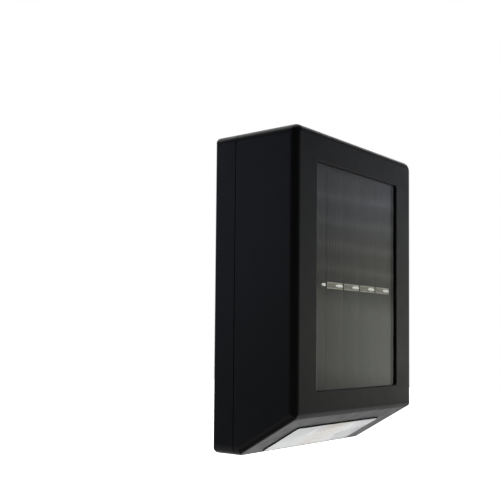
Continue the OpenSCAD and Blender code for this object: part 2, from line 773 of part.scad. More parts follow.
module driver_chip() {
  color([0.1, 0.1, 0.1]) on_board(chip_at) {
    translate([-chip_size.x / 2, -chip_size.y / 2, chip_lead.z / 2]) cube(chip_size);
    for (s = [-1, 1]) for (i = [-1.5:1:1.5])
      translate([i * 1.27 - chip_lead.x / 2, s * chip_size.y / 2 - chip_lead.y / 2, 0]) cube(chip_lead);
  }
}

module driver_inductor() {
  color([0.25, 0.25, 0.27]) on_board(inductor_at) {
    cylinder(r = inductor_r, h = inductor_t * 0.2);
    cylinder(r = inductor_r * 0.75, h = inductor_t);
    translate([0, 0, inductor_t * 0.8]) cylinder(r = inductor_r, h = inductor_t * 0.2);
  }
}

module driver_capacitor() {
  color([0.1, 0.15, 0.3]) on_board(capacitor_at) {
    cylinder(r = capacitor_r, h = capacitor_t * 0.12);
    cylinder(r = capacitor_r * 0.92, h = capacitor_t * 0.2);
    translate([0, 0, capacitor_t * 0.2]) cylinder(r = capacitor_r, h = capacitor_t * 0.8);
  }
}

module switch_body() {
  cavity_w = slider_w + switch_travel + 2 * fit;
  color("silver") difference() {
    block([-switch_w / 2, board_y, board_z - switch_h / 2],
          [switch_w / 2, board_y + switch_t, board_z + switch_h / 2]);
    block([-cavity_w / 2, board_y + switch_t - roof_t - slider_t - 2 * fit, board_z - slider_h / 2 - fit],
          [cavity_w / 2, board_y + switch_t - roof_t, board_z + slider_h / 2 + fit]);
    block([-(knob_w + switch_travel) / 2 - fit, board_y + switch_t - roof_t - eps,
           board_z - lever_h / 2 - fit],
          [(knob_w + switch_travel) / 2 + fit, board_y + switch_t + 1, board_z + lever_h / 2 + fit]);
  }
}

// At rest the knob stands at the left end of its travel
module switch_knob() {
  base_y = board_y + switch_t - roof_t - fit;
  color("white") translate([-switch_travel / 2, 0, board_z]) {
    block([-slider_w / 2, base_y - slider_t, -slider_h / 2], [slider_w / 2, base_y, slider_h / 2]);
    block([-knob_w / 2, base_y - eps, -lever_h / 2], [knob_w / 2, -lever_out, lever_h / 2]);
    for (x = [-1, 0, 1]) block([x * knob_w / 3 - 0.15, -lever_out - eps, -lever_h / 2],
                               [x * knob_w / 3 + 0.15, -lever_out + 0.2, lever_h / 2]);
  }
}

// ---- Battery, its contacts and its door ----

// Lays a round shape, drawn along +Z from z = 0, along +X from the given place in the bay
module along_bay(x) {
  translate([x, battery_y, bay_z]) rotate([0, 90, 0]) children();
}

module battery_cell() {
  start = -bay_l / 2 + plate_t + spring_l;
  color([0.2, 0.45, 0.25]) along_bay(start) {
    rotate_extrude() polygon([[0, 0], [battery_d / 2 - 0.6, 0], [battery_d / 2, 0.6],
      [battery_d / 2, battery_l - button_l - 0.6], [battery_d / 2 - 0.6, battery_l - button_l],
      [button_r, battery_l - button_l], [button_r, battery_l], [0, battery_l]]);
  }
}

// A contact plate with a soldering tab that leaves through the tub's end
module contact(s) {
  wall_x = s * bay_l / 2;
  low = min(wall_x, wall_x - s * plate_t);
  block([low, battery_y - contact_w / 2, bay_z - contact_w / 2],
        [low + plate_t, max(battery_y + contact_w / 2, tab_y + plate_t / 2), bay_z + contact_w / 2]);
  block([min(wall_x - s * plate_t, wall_x + s * tab_l), tab_y - plate_t / 2, bay_z - tab_w / 2],
        [max(wall_x - s * plate_t, wall_x + s * tab_l), tab_y + plate_t / 2, bay_z + tab_w / 2]);
}

module battery_plate() {
  color("gold") contact(1);
}

module battery_spring() {
  rise = spring_l - 2 * spring_wire_r;
  turn_steps = 14;
  count = spring_turns * turn_steps;
  coil = [for (i = [0:count]) let (a = 360 * i / turn_steps, t = i / count, r = spring_r - 1.4 * t)
    [-bay_l / 2 + plate_t + spring_wire_r + rise * t, battery_y + r * cos(a), bay_z + r * sin(a)]];
  color("gainsboro") {
    contact(-1);
    tube_along(coil, spring_wire_r, lead_sides);
  }
}

module battery_door() {
  color(charcoal) difference() {
    union() {
      block([-door_w / 2, -door_in, door_low], [door_w / 2, -door_out, axis_z]);
      translate([-door_w / 2, -axis_in, axis_z]) rotate([0, 90, 0]) cylinder(r = barrel_r, h = door_w);
      translate([-door_w / 2 - pin_l, -axis_in, axis_z]) rotate([0, 90, 0])
        cylinder(r = hinge_pin_r, h = door_w + 2 * pin_l);
      block([-nose_w / 2, -door_in, door_low - nose_h], [nose_w / 2, -door_in + nose_t, door_low + eps]);
      // A rib on the inside keeps the battery from rattling
      block([-1, -door_in - 0.6, bay_z - 3], [1, -door_in + eps, bay_z + 3]);
    }
    for (i = [0:3]) translate([0, -door_out, door_low + 2 + i * 1.2])
      block([-nose_w / 2, -0.4, 0], [nose_w / 2, 1, 0.5]);
  }
}

module door_seal() {
  color([0.15, 0.15, 0.15]) translate([0, 0, bay_z]) depth(-door_in, -ledge_in) difference() {
    rounded_rect(bay_l + 2 * (seal_in + seal_w), bay_h + 2 * (seal_in + seal_w), 1.2);
    rounded_rect(bay_l + 2 * seal_in, bay_h + 2 * seal_in, min_r);
  }
}

// ---- Leads ----

// A lead along its route
module lead_route(points) {
  tube_along(smooth(points, lead_steps), lead_r, lead_sides);
}

module solar_leads() {
  back = panel_y + panel_t;
  for (s = [0, 1])
    color(s == 0 ? "firebrick" : "black")
      lead_route([[3 + s * lead_pair, back, 30], [3 + s * lead_pair, back + 3, 30],
                  [4 + s * lead_pair, -26, 33], [5 + s * lead_pair, -20, 34],
                  [6 + s * lead_pair, -14, 31], [6 + s * lead_pair, -11, 28],
                  [6 + s * lead_pair, board_y - board_t, 28]]);
}

module battery_leads() {
  tab_end = bay_l / 2 + tab_l - 0.8;
  for (s = [-1, 1])
    color(s > 0 ? "firebrick" : "black")
      lead_route([[s * tab_end, tab_y - plate_t / 2 - 0.05, bay_z], [s * tab_end, -13, bay_z],
                  [s * 32, -16, -8], [s * 30, -17, 2], [s * 24, -15, 9], [s * 16, -13, 12],
                  [s * 14.5, -11, 14], [s * 14.5, board_y - board_t, 14]]);
}

module lamp_leads() {
  for (s = [0, 1])
    color(s == 0 ? "firebrick" : "black")
      lead_route([[-8 - s * lead_pair, lamp_back.x, lamp_back.y],
                  [-8 - s * lead_pair, lamp_back.x + 1.4, lamp_back.y + 2.4],
                  [-8 - s * lead_pair, lamp_back.x, lamp_back.y + 8],
                  [-8 - s * lead_pair, -21.5, -28], [-8 - s * lead_pair, -22.5, -14],
                  [-6 - s * lead_pair, -22, -2], [-4 - s * lead_pair, -18, 6], [-3 - s * lead_pair, -12, 7.5],
                  [-3 - s * lead_pair, board_y - board_t, 7.5]]);
}

front_housing();
rear_cover();
housing_gasket();
housing_screws();
panel_window();
panel_tape();
panel_board();
solar_cells();
cell_ribbons();
light_lens();
reflector();
led_board();
leds();
reflector_screws();
control_board();
board_screws();
driver_chip();
driver_inductor();
driver_capacitor();
switch_body();
switch_knob();
battery_cell();
battery_plate();
battery_spring();
battery_door();
door_seal();
solar_leads();
battery_leads();
lamp_leads();
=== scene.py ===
"""Looks of a solar wall light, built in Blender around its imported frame.

Lengths are in metres. X points to the right as seen from the front, Z points up, the front faces
-Y, and the wall is the plane Y = 0. Every piece is placed from the frame's own nodes.
"""

import logging
import math
from collections.abc import Callable, Sequence
from dataclasses import dataclass, field
from enum import Enum

import bmesh
import bpy
from mathutils import Matrix, Vector
from mathutils.geometry import tessellate_polygon


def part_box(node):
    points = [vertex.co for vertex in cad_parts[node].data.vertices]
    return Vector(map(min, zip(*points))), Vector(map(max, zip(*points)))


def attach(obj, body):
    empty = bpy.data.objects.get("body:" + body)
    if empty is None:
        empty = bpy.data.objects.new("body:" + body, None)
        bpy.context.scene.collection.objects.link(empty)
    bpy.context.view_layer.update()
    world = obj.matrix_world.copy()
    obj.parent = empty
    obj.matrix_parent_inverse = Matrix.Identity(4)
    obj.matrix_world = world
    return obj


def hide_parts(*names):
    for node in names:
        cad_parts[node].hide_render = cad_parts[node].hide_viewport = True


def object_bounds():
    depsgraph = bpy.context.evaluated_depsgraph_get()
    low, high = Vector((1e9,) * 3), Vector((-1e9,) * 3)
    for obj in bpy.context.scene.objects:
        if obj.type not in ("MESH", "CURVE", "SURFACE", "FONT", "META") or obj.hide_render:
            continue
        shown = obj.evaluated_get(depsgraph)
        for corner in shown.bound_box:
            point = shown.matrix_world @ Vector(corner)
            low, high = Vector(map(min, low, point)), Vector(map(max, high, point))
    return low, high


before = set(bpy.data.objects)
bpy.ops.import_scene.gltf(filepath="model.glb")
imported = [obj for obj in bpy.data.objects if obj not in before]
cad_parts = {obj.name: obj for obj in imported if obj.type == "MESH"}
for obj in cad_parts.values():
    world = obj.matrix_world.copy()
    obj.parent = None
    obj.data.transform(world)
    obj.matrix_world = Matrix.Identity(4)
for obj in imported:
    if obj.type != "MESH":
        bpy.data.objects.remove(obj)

CAD_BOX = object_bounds()
MM = 0.001
SMOOTH_TURN = 40  # faces that turn by less than this, in degrees, shade as one
SAME_WAY = 0.9999  # two normals whose product is above this point the same way
LOG = logging.getLogger("wall_light")

Colour = tuple[float, float, float]
Ring = list[Vector]


class Body(Enum):
    """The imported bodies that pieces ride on."""

    HOUSING = "housing"
    SWITCH = "switch"
    DOOR = "door"


class Side(Enum):
    """Left and right, as seen from the front."""

    LEFT = -1
    RIGHT = 1


def shade(red: float, green: float, blue: float) -> Colour:
    """Turns a display colour into the linear colour that a shader takes.

    Args:
        red: Red, from 0 to 255.
        green: Green, from 0 to 255.
        blue: Blue, from 0 to 255.

    Returns:
        The linear colour.
    """

    def linear(value: float) -> float:
        """Undoes the display curve of one channel."""
        share = value / 255
        return share / 12.92 if share <= 0.04045 else ((share + 0.055) / 1.055) ** 2.4

    return linear(red), linear(green), linear(blue)


def rgba(colour: Colour) -> tuple[float, float, float, float]:
    """Adds full opacity to a colour."""
    return (*colour, 1.0)


# ---- Materials ----


class Graph:
    """The node tree of one material or world, with short calls to add and join nodes."""

    def __init__(self, owner: bpy.types.Material | bpy.types.World) -> None:
        """Empties the owner's tree and keeps it.

        Args:
            owner: The material or world that the nodes belong to.
        """
        owner.use_nodes = True
        self.tree = owner.node_tree
        self.tree.nodes.clear()

    def add(self, kind: str, **settings: object) -> bpy.types.Node:
        """Adds a node.

        Args:
            kind: The node's type name, without its ShaderNode prefix.
            **settings: Attributes of the node to set.

        Returns:
            The new node.
        """
        node = self.tree.nodes.new(f"ShaderNode{kind}")
        for name, value in settings.items():
            setattr(node, name, value)
        return node

    def feed(self, node: bpy.types.Node, **values: object) -> bpy.types.Node:
        """Sets or joins a node's inputs; an underscore in a name stands for a space.

        Args:
            node: The node whose inputs are fed.
            **values: A socket to join, or a plain value to set, for each input.

        Returns:
            The same node.
        """
        for name, value in values.items():
            self.put(node.inputs[name.replace("_", " ")], value)
        return node

    def put(self, target: bpy.types.NodeSocket, value: object) -> None:
        """Joins a socket to a target, or sets the target to a plain value."""
        if isinstance(value, bpy.types.NodeSocket):
            self.tree.links.new(value, target)
        else:
            target.default_value = value

    def place(self, stretch: Colour = (1.0, 1.0, 1.0)) -> bpy.types.NodeSocket:
        """Gives object coordinates in metres.

        Args:
            stretch: A factor for each axis.

        Returns:
            The coordinates' socket.
        """
        spot = self.add("TexCoord").outputs["Object"]
        if stretch == (1.0, 1.0, 1.0):
            return spot
        return self.feed(self.add("Mapping"), Vector=spot, Scale=stretch).outputs[0]

    def noise(
        self, size: float, detail: float = 3.0, stretch: Colour = (1.0, 1.0, 1.0)
    ) -> bpy.types.NodeSocket:
        """Gives soft noise from 0 to 1.

        Args:
            size: The size of a blotch, in metres.
            detail: How many finer layers it has.
            stretch: A factor for each axis of the coordinates.

        Returns:
            The noise's value socket.
        """
        node = self.feed(
            self.add("TexNoise"), Vector=self.place(stretch), Scale=1 / size, Detail=detail
        )
        return node.outputs["Fac"]

    def spread(
        self, source: object, low: float, high: float, start: float = 0.3, end: float = 0.7
    ) -> bpy.types.NodeSocket:
        """Maps a value from one range to another, and stops at both ends.

        Args:
            source: The value's socket.
            low: The result at the start.
            high: The result at the end.
            start: Where the source's range starts.
            end: Where the source's range ends.

        Returns:
            The result's socket.
        """
        node = self.add("MapRange", clamp=True)
        for index, value in enumerate((source, start, end, low, high)):
            self.put(node.inputs[index], value)
        return node.outputs[0]

    def sum(self, kind: str, first: object, second: object = 0.0) -> bpy.types.NodeSocket:
        """Works out one step of arithmetic.

        Args:
            kind: The name of the operation.
            first: The first value or socket.
            second: The second value or socket.

        Returns:
            The result's socket.
        """
        node = self.add("Math", operation=kind)
        self.put(node.inputs[0], first)
        self.put(node.inputs[1], second)
        return node.outputs[0]

    def blend(self, share: object, first: object, second: object) -> bpy.types.NodeSocket:
        """Mixes two colours.

        Args:
            share: How much of the second colour shows.
            first: A colour or socket.
            second: A colour or socket.

        Returns:
            The mixed colour's socket.
        """
        node = self.add("Mix", data_type="RGBA")
        self.put(node.inputs[0], share)
        for index, value in ((6, first), (7, second)):
            self.put(node.inputs[index], rgba(value) if isinstance(value, tuple) else value)
        return node.outputs[2]

    def dent(
        self, height: object, depth: float, under: bpy.types.NodeSocket | None = None
    ) -> bpy.types.NodeSocket:
        """Turns a height into a bumped normal.

        Args:
            height: The height's socket, from 0 to 1.
            depth: The bump's depth, in metres.
            under: A bumped normal that this one lies on.

        Returns:
            The normal's socket.
        """
        node = self.feed(self.add("Bump"), Height=height, Distance=depth, Strength=1.0)
        if under is not None:
            self.put(node.inputs["Normal"], under)
        return node.outputs["Normal"]

    def surface(self, **inputs: object) -> bpy.types.Node:
        """Adds the main shader and joins it to the output.

        Args:
            **inputs: Its inputs; an underscore stands for a space.

        Returns:
            The shader node.
        """
        shader = self.feed(self.add("BsdfPrincipled"), **inputs)
        self.tree.links.new(shader.outputs[0], self.add("OutputMaterial").inputs[0])
        return shader


@dataclass(frozen=True)
class Finish:
    """A finish that a piece can wear. Each kind draws its own nodes."""

    name: str

    def draw(self, graph: Graph) -> None:
        """Adds the finish's nodes to an empty tree."""
        raise NotImplementedError

    def material(self) -> bpy.types.Material:
        """Gives the finish's material, and makes it the first time."""
        made = bpy.data.materials.get(self.name)
        if made is None:
            made = bpy.data.materials.new(self.name)
            self.draw(Graph(made))
        return made


@dataclass(frozen=True)
class MouldedPlastic(Finish):
    """Injection moulded plastic with a fine spark-eroded grain and lightly rubbed edges."""

    colour: Colour
    grain: float = 0.32 * MM
    grain_depth: float = 0.006 * MM
    gloss_low: float = 0.3
    gloss_high: float = 0.4
    wear: float = 0.08
    sheen: Colour = field(default_factory=lambda: shade(40, 41, 43))

    def draw(self, graph: Graph) -> None:
        """Mixes flow marks, grain and rubbed edges."""
        flow = graph.noise(14 * MM, 4)
        tone = graph.blend(
            flow, tuple(0.85 * c for c in self.colour), tuple(1.15 * c for c in self.colour)
        )
        eased = graph.feed(graph.add("Bevel", samples=4), Radius=0.35 * MM)
        true = graph.add("NewGeometry")
        facing = graph.add("VectorMath", operation="DOT_PRODUCT")
        graph.put(facing.inputs[0], eased.outputs[0])
        graph.put(facing.inputs[1], true.outputs["Normal"])
        edge = graph.spread(facing.outputs["Value"], self.wear, 0.0, 0.8, 0.99)
        patchy = graph.spread(graph.noise(3 * MM, 3), 0.2, 1.0)
        worn = graph.blend(graph.sum("MULTIPLY", edge, patchy), tone, self.sheen)
        rough = graph.spread(graph.noise(6 * MM, 5), self.gloss_low, self.gloss_high)
        grain = graph.dent(graph.noise(self.grain, 2), self.grain_depth)
        graph.surface(Base_Color=worn, Roughness=rough, IOR=1.5, Normal=grain)


@dataclass(frozen=True)
class Rubber(Finish):
    """Soft sealing rubber, dull and slightly dusty."""

    colour: Colour

    def draw(self, graph: Graph) -> None:
        """Mixes a dusty tone over a fine pitted surface."""
        dust = graph.spread(graph.noise(2 * MM, 4), 0.0, 0.4)
        tone = graph.blend(dust, self.colour, tuple(2.2 * c for c in self.colour))
        pits = graph.dent(graph.noise(0.2 * MM, 2), 0.01 * MM)
        rough = graph.spread(graph.noise(1 * MM), 0.7, 0.9)
        graph.surface(Base_Color=tone, Roughness=rough, Normal=pits)


@dataclass(frozen=True)
class Metal(Finish):
    """Bare or plated metal with drawn or tumbled marks."""

    colour: Colour
    rough_low: float
    rough_high: float
    marks: Colour = (1.0, 1.0, 1.0)
    mark_size: float = 0.5 * MM

    def draw(self, graph: Graph) -> None:
        """Mixes stained patches and fine marks along one direction."""
        stain = graph.spread(graph.noise(2.5 * MM, 5), 0.0, 0.35)
        tone = graph.blend(stain, self.colour, tuple(0.55 * c for c in self.colour))
        marks = graph.noise(self.mark_size, 4, self.marks)
        rough = graph.spread(marks, self.rough_low, self.rough_high)
        graph.surface(
            Base_Color=tone, Metallic=1.0, Roughness=rough, Normal=graph.dent(marks, 0.004 * MM)
        )


@dataclass(frozen=True)
class ClearPlastic(Finish):
    """Clear or lightly frosted plastic that light passes through."""

    colour: Colour
    rough_low: float
    rough_high: float
    smudge: float = 9 * MM
    clarity: float = 1.0

    def draw(self, graph: Graph) -> None:
        """Mixes smudges into a clear body, and lets shadow rays through."""
        smudge = graph.spread(graph.noise(self.smudge, 5), self.rough_low, self.rough_high)
        shader = graph.surface(
            Base_Color=self.tone(graph),
            Roughness=smudge,
            IOR=1.49,
            Transmission_Weight=self.clarity,
        )
        end = graph.tree.nodes["Material Output"]
        pass_through = graph.feed(graph.add("BsdfTransparent"), Color=rgba(self.colour))
        mix = graph.add("MixShader")
        graph.put(mix.inputs[0], graph.add("LightPath").outputs["Is Shadow Ray"])
        graph.put(mix.inputs[1], shader.outputs[0])
        graph.put(mix.inputs[2], pass_through.outputs[0])
        graph.put(end.inputs[0], mix.outputs[0])


    def tone(self, graph: Graph) -> object:
        """Gives the body's colour, the same all over."""
        return rgba(self.colour)


@dataclass(frozen=True)
class LensPlastic(ClearPlastic):
    """Clear plastic before a lamp: warm in the middle, with painted shade making it greyer to the right and
    painted highlights at two ridges.
    """

    warm: Colour = (1.0, 1.0, 1.0)
    # painted shade: the darker grey the lens turns to on the right
    cool: Colour = (1.0, 1.0, 1.0)
    # painted highlight: the colour of the two ridge highlights
    ridge_highlight: Colour = (1.0, 1.0, 1.0)
    # where the painted ridge highlights lie, across and along the slant
    ridge_x: float = 12.9 * MM
    ridge_half: float = 1.5 * MM
    ridge_front: float = -28.6 * MM
    ridge_back: float = -22.0 * MM
    warm_half: float = 8 * MM
    right_shade_start: float = 9 * MM
    right_shade_end: float = 26 * MM
    edge: float = 2 * MM

    def tone(self, graph: Graph) -> object:
        """Blends the tints from left to right: a warm middle, painted shade to the right and painted
        highlights at the ridges.

        Args:
            graph: The tree to add to.

        Returns:
            The colour's socket.
        """
        spot = graph.add("SeparateXYZ")
        graph.put(spot.inputs[0], graph.place())
        across = spot.outputs[0]
        left = graph.spread(across, 0.0, 1.0, -self.warm_half - self.edge, -self.warm_half + self.edge)
        right = graph.spread(across, 1.0, 0.0, self.warm_half - self.edge, self.warm_half + self.edge)
        first = graph.blend(graph.sum("MULTIPLY", left, right), self.colour, self.warm)
        # painted shade: the darker grey blended in towards the right
        second = graph.blend(
            graph.spread(across, 0.0, 1.0, self.right_shade_start, self.right_shade_end), first, self.cool
        )
        # painted highlight: a mask over each ridge, from its front to its back
        from_ridge = graph.sum("SUBTRACT", graph.sum("ABSOLUTE", across), self.ridge_x)
        beside = graph.spread(graph.sum("ABSOLUTE", from_ridge), 1.0, 0.0, 0.0, self.ridge_half)
        along = spot.outputs[1]
        begun = graph.spread(along, 0.0, 1.0, self.ridge_front, self.ridge_front + self.edge)
        ended = graph.spread(along, 1.0, 0.0, self.ridge_back - self.edge, self.ridge_back)
        highlight_share = graph.sum("MULTIPLY", beside, graph.sum("MULTIPLY", begun, ended))
        return graph.blend(highlight_share, second, self.ridge_highlight)


@dataclass(frozen=True)
class Silicon(Finish):
    """Dark coated silicon with drifting tone and a faint vertical streak."""

    colour: Colour
    light: Colour

    def draw(self, graph: Graph) -> None:
        """Mixes cloudy coating and crystal grain."""
        cloud = graph.spread(graph.noise(18 * MM, 3, (1.0, 1.0, 0.7)), 0.0, 1.0)
        streak = graph.spread(graph.noise(1.2 * MM, 3, (1.0, 1.0, 0.05)), 0.0, 0.3)
        tone = graph.blend(
            graph.sum("ADD", graph.sum("MULTIPLY", cloud, 0.7), streak), self.colour, self.light
        )
        rough = graph.spread(graph.noise(5 * MM, 3), 0.5, 0.6)
        graph.surface(
            Base_Color=tone,
            Roughness=rough,
            Specular_IOR_Level=0.2,
            Normal=graph.dent(streak, 0.001 * MM),
        )


@dataclass(frozen=True)
class Solder(Finish):
    """Tinned copper and solder, bright and slightly lumpy."""

    colour: Colour
    metallic: float = 0.35

    def draw(self, graph: Graph) -> None:
        """Mixes a lumpy skin with duller patches."""
        lumps = graph.noise(0.7 * MM, 3)
        rough = graph.spread(graph.noise(0.4 * MM, 2), 0.32, 0.55)
        tone = graph.blend(
            graph.spread(lumps, 0.0, 0.5), self.colour, tuple(0.7 * c for c in self.colour)
        )
        graph.surface(
            Base_Color=tone, Metallic=self.metallic, Roughness=rough, Normal=graph.dent(lumps, 0.03 * MM)
        )


@dataclass(frozen=True)
class Laminate(Finish):
    """Circuit board with a lacquer over woven glass and faint copper tracks."""

    lacquer: Colour
    track: Colour
    weave: float = 0.5 * MM
    track_pitch: float = 1.6 * MM

    def draw(self, graph: Graph) -> None:
        """Mixes woven glass and blocky tracks under a lacquer."""
        squares = graph.feed(
            graph.add("TexVoronoi", feature="F1", distance="MANHATTAN"),
            Vector=graph.place(),
            Scale=1 / self.track_pitch,
        )
        lines = graph.spread(squares.outputs["Distance"], 0.0, 1.0, 0.42, 0.46)
        cloth = graph.feed(
            graph.add("TexChecker"), Vector=graph.place(), Scale=1 / self.weave
        ).outputs["Fac"]
        tone = graph.blend(graph.sum("MULTIPLY", lines, 0.6), self.lacquer, self.track)
        height = graph.sum("ADD", lines, graph.sum("MULTIPLY", cloth, 0.15))
        rough = graph.spread(graph.noise(2 * MM, 3), 0.3, 0.45)
        graph.surface(Base_Color=tone, Roughness=rough, Normal=graph.dent(height, 0.02 * MM))


@dataclass(frozen=True)
class Sleeve(Finish):
    """A shrunk plastic sleeve in two plain colours, with soft creases."""

    colour: Colour
    band: Colour
    band_start: float
    band_end: float

    def draw(self, graph: Graph) -> None:
        """Mixes a plain band at one end and creases."""
        across = graph.add("SeparateXYZ")
        graph.put(across.inputs[0], graph.place())
        share = graph.spread(across.outputs[0], 0.0, 1.0, self.band_start, self.band_end)
        tone = graph.blend(share, self.colour, self.band)
        crease = graph.noise(5 * MM, 3, (0.2, 1.0, 1.0))
        rough = graph.spread(crease, 0.22, 0.34)
        graph.surface(Base_Color=tone, Roughness=rough, Normal=graph.dent(crease, 0.03 * MM))


@dataclass(frozen=True)
class Phosphor(Finish):
    """The yellow phosphor gel over a lamp's chip, unlit."""

    colour: Colour
    edge: Colour

    def draw(self, graph: Graph) -> None:
        """Mixes settled grains into a glossy gel."""
        grains = graph.spread(graph.noise(0.15 * MM, 3), 0.0, 1.0)
        tone = graph.blend(grains, self.colour, self.edge)
        graph.surface(
            Base_Color=tone,
            Roughness=graph.spread(grains, 0.15, 0.3, 0.0, 1.0),
            Subsurface_Weight=0.2,
            Subsurface_Scale=0.5 * MM,
            Normal=graph.dent(grains, 0.01 * MM),
        )


class Finishes:
    """Every finish of the light, under the name of what wears it."""

    housing = MouldedPlastic("moulded_black", (0.0014, 0.0015, 0.0018))
    knob = MouldedPlastic(
        "knob_white", shade(214, 214, 208), wear=0.0, gloss_low=0.35, gloss_high=0.5
    )
    reflector = MouldedPlastic(
        "reflector_white",
        shade(246, 244, 240),
        grain_depth=0.002 * MM,
        gloss_low=0.18,
        gloss_high=0.3,
        wear=0.0,
    )
    package = MouldedPlastic("lamp_package", shade(238, 236, 228), wear=0.0)
    chip = MouldedPlastic("chip_epoxy", shade(34, 34, 36), wear=0.0, gloss_low=0.5, gloss_high=0.65)
    gasket = Rubber("gasket_rubber", (0.008, 0.008, 0.008))
    seal = Rubber("seal_rubber", (0.02, 0.02, 0.02))
    tape = Rubber("tape_foam", (0.006, 0.006, 0.006))
    screw = Metal("screw_zinc", (0.62, 0.62, 0.6), 0.25, 0.4)
    contact = Metal("contact_nickel", (0.72, 0.68, 0.6), 0.2, 0.32, (1.0, 0.15, 1.0))
    shell = Metal("switch_shell", (0.66, 0.66, 0.66), 0.25, 0.38, (0.1, 1.0, 1.0))
    can = Metal("battery_steel", (0.7, 0.7, 0.7), 0.2, 0.3, (1.0, 0.2, 0.2))
    capacitor = Metal("capacitor_can", (0.72, 0.73, 0.75), 0.28, 0.4, (1.0, 0.1, 1.0))
    ferrite = MouldedPlastic(
        "ferrite", shade(46, 46, 50), wear=0.0, gloss_low=0.6, gloss_high=0.8, grain=0.2 * MM
    )
    pane = ClearPlastic("pane_clear", (0.94, 0.95, 0.93), 0.004, 0.02)
    lens = LensPlastic(
        "lens_clear",
        (0.74, 0.745, 0.745),
        0.05,
        0.12,
        clarity=0.5,
        warm=(0.7, 0.66, 0.615),
        # cool is the painted shade on the right of the lens
        cool=(0.4, 0.4, 0.43),
    )
    lens_seal = Rubber("lens_seal_rubber", (0.004, 0.004, 0.004))
    cell = Silicon("silicon_cell", (0.0028, 0.003, 0.0027), (0.005, 0.005, 0.0045))
    backing = Silicon("panel_backing", (0.005, 0.0052, 0.0047), (0.0072, 0.0072, 0.0065))
    finger = Solder("finger_silver", (0.03, 0.03, 0.028))
    pad = Solder("pad_silver", (0.1, 0.096, 0.08), 0.1)
    pad_bar = Solder("pad_bar_silver", (0.44, 0.42, 0.36), 0.1)
    ribbon = Solder("ribbon_tinned", (0.98, 0.97, 0.93), 0.0)
    lamp_board = Laminate("lamp_board_white", shade(225, 205, 188), shade(236, 220, 204))
    board = Laminate("board_green", (0.006, 0.05, 0.026), (0.02, 0.11, 0.05))
    phosphor = Phosphor("phosphor_gel", (0.85, 0.62, 0.12), (0.78, 0.5, 0.08))
    sleeve = Sleeve("battery_sleeve", (0.02, 0.16, 0.09), (0.6, 0.6, 0.58), 12 * MM, 12.4 * MM)
    lead = MouldedPlastic("lead_insulation", shade(40, 36, 36), wear=0.0, gloss_low=0.4, gloss_high=0.55)


# ---- Mesh making ----


def rounded_outline(width: float, height: float, radius: float, steps: int = 6) -> list[tuple[float, float]]:
    """Walks round a rectangle with rounded corners, against the clock.

    Args:
        width: Its full width.
        height: Its full height.
        radius: Its corners' radius.
        steps: Chords in each corner.

    Returns:
        The points, as pairs.
    """
    points = []
    for corner, (sx, sy) in enumerate(((1, 1), (-1, 1), (-1, -1), (1, -1))):
        for step in range(steps + 1):
            turn = math.radians(90 * corner + 90 * step / steps)
            points.append(
                (
                    sx * (width / 2 - radius) + radius * math.cos(turn),
                    sy * (height / 2 - radius) + radius * math.sin(turn),
                )
            )
    return points


def circle(radius: float, sides: int, centre: tuple[float, float] = (0.0, 0.0)) -> list[tuple[float, float]]:
    """Walks round a circle, against the clock.

    Args:
        radius: Its radius.
        sides: How many chords it has.
        centre: Its centre.

    Returns:
        The points, as pairs.
    """
    turns = (2 * math.pi * k / sides for k in range(sides))
    return [(centre[0] + radius * math.cos(t), centre[1] + radius * math.sin(t)) for t in turns]


def at_height(points: Sequence[tuple[float, float]], z: float) -> Ring:
    """Lifts flat points to a height."""
    return [Vector((x, y, z)) for x, y in points]


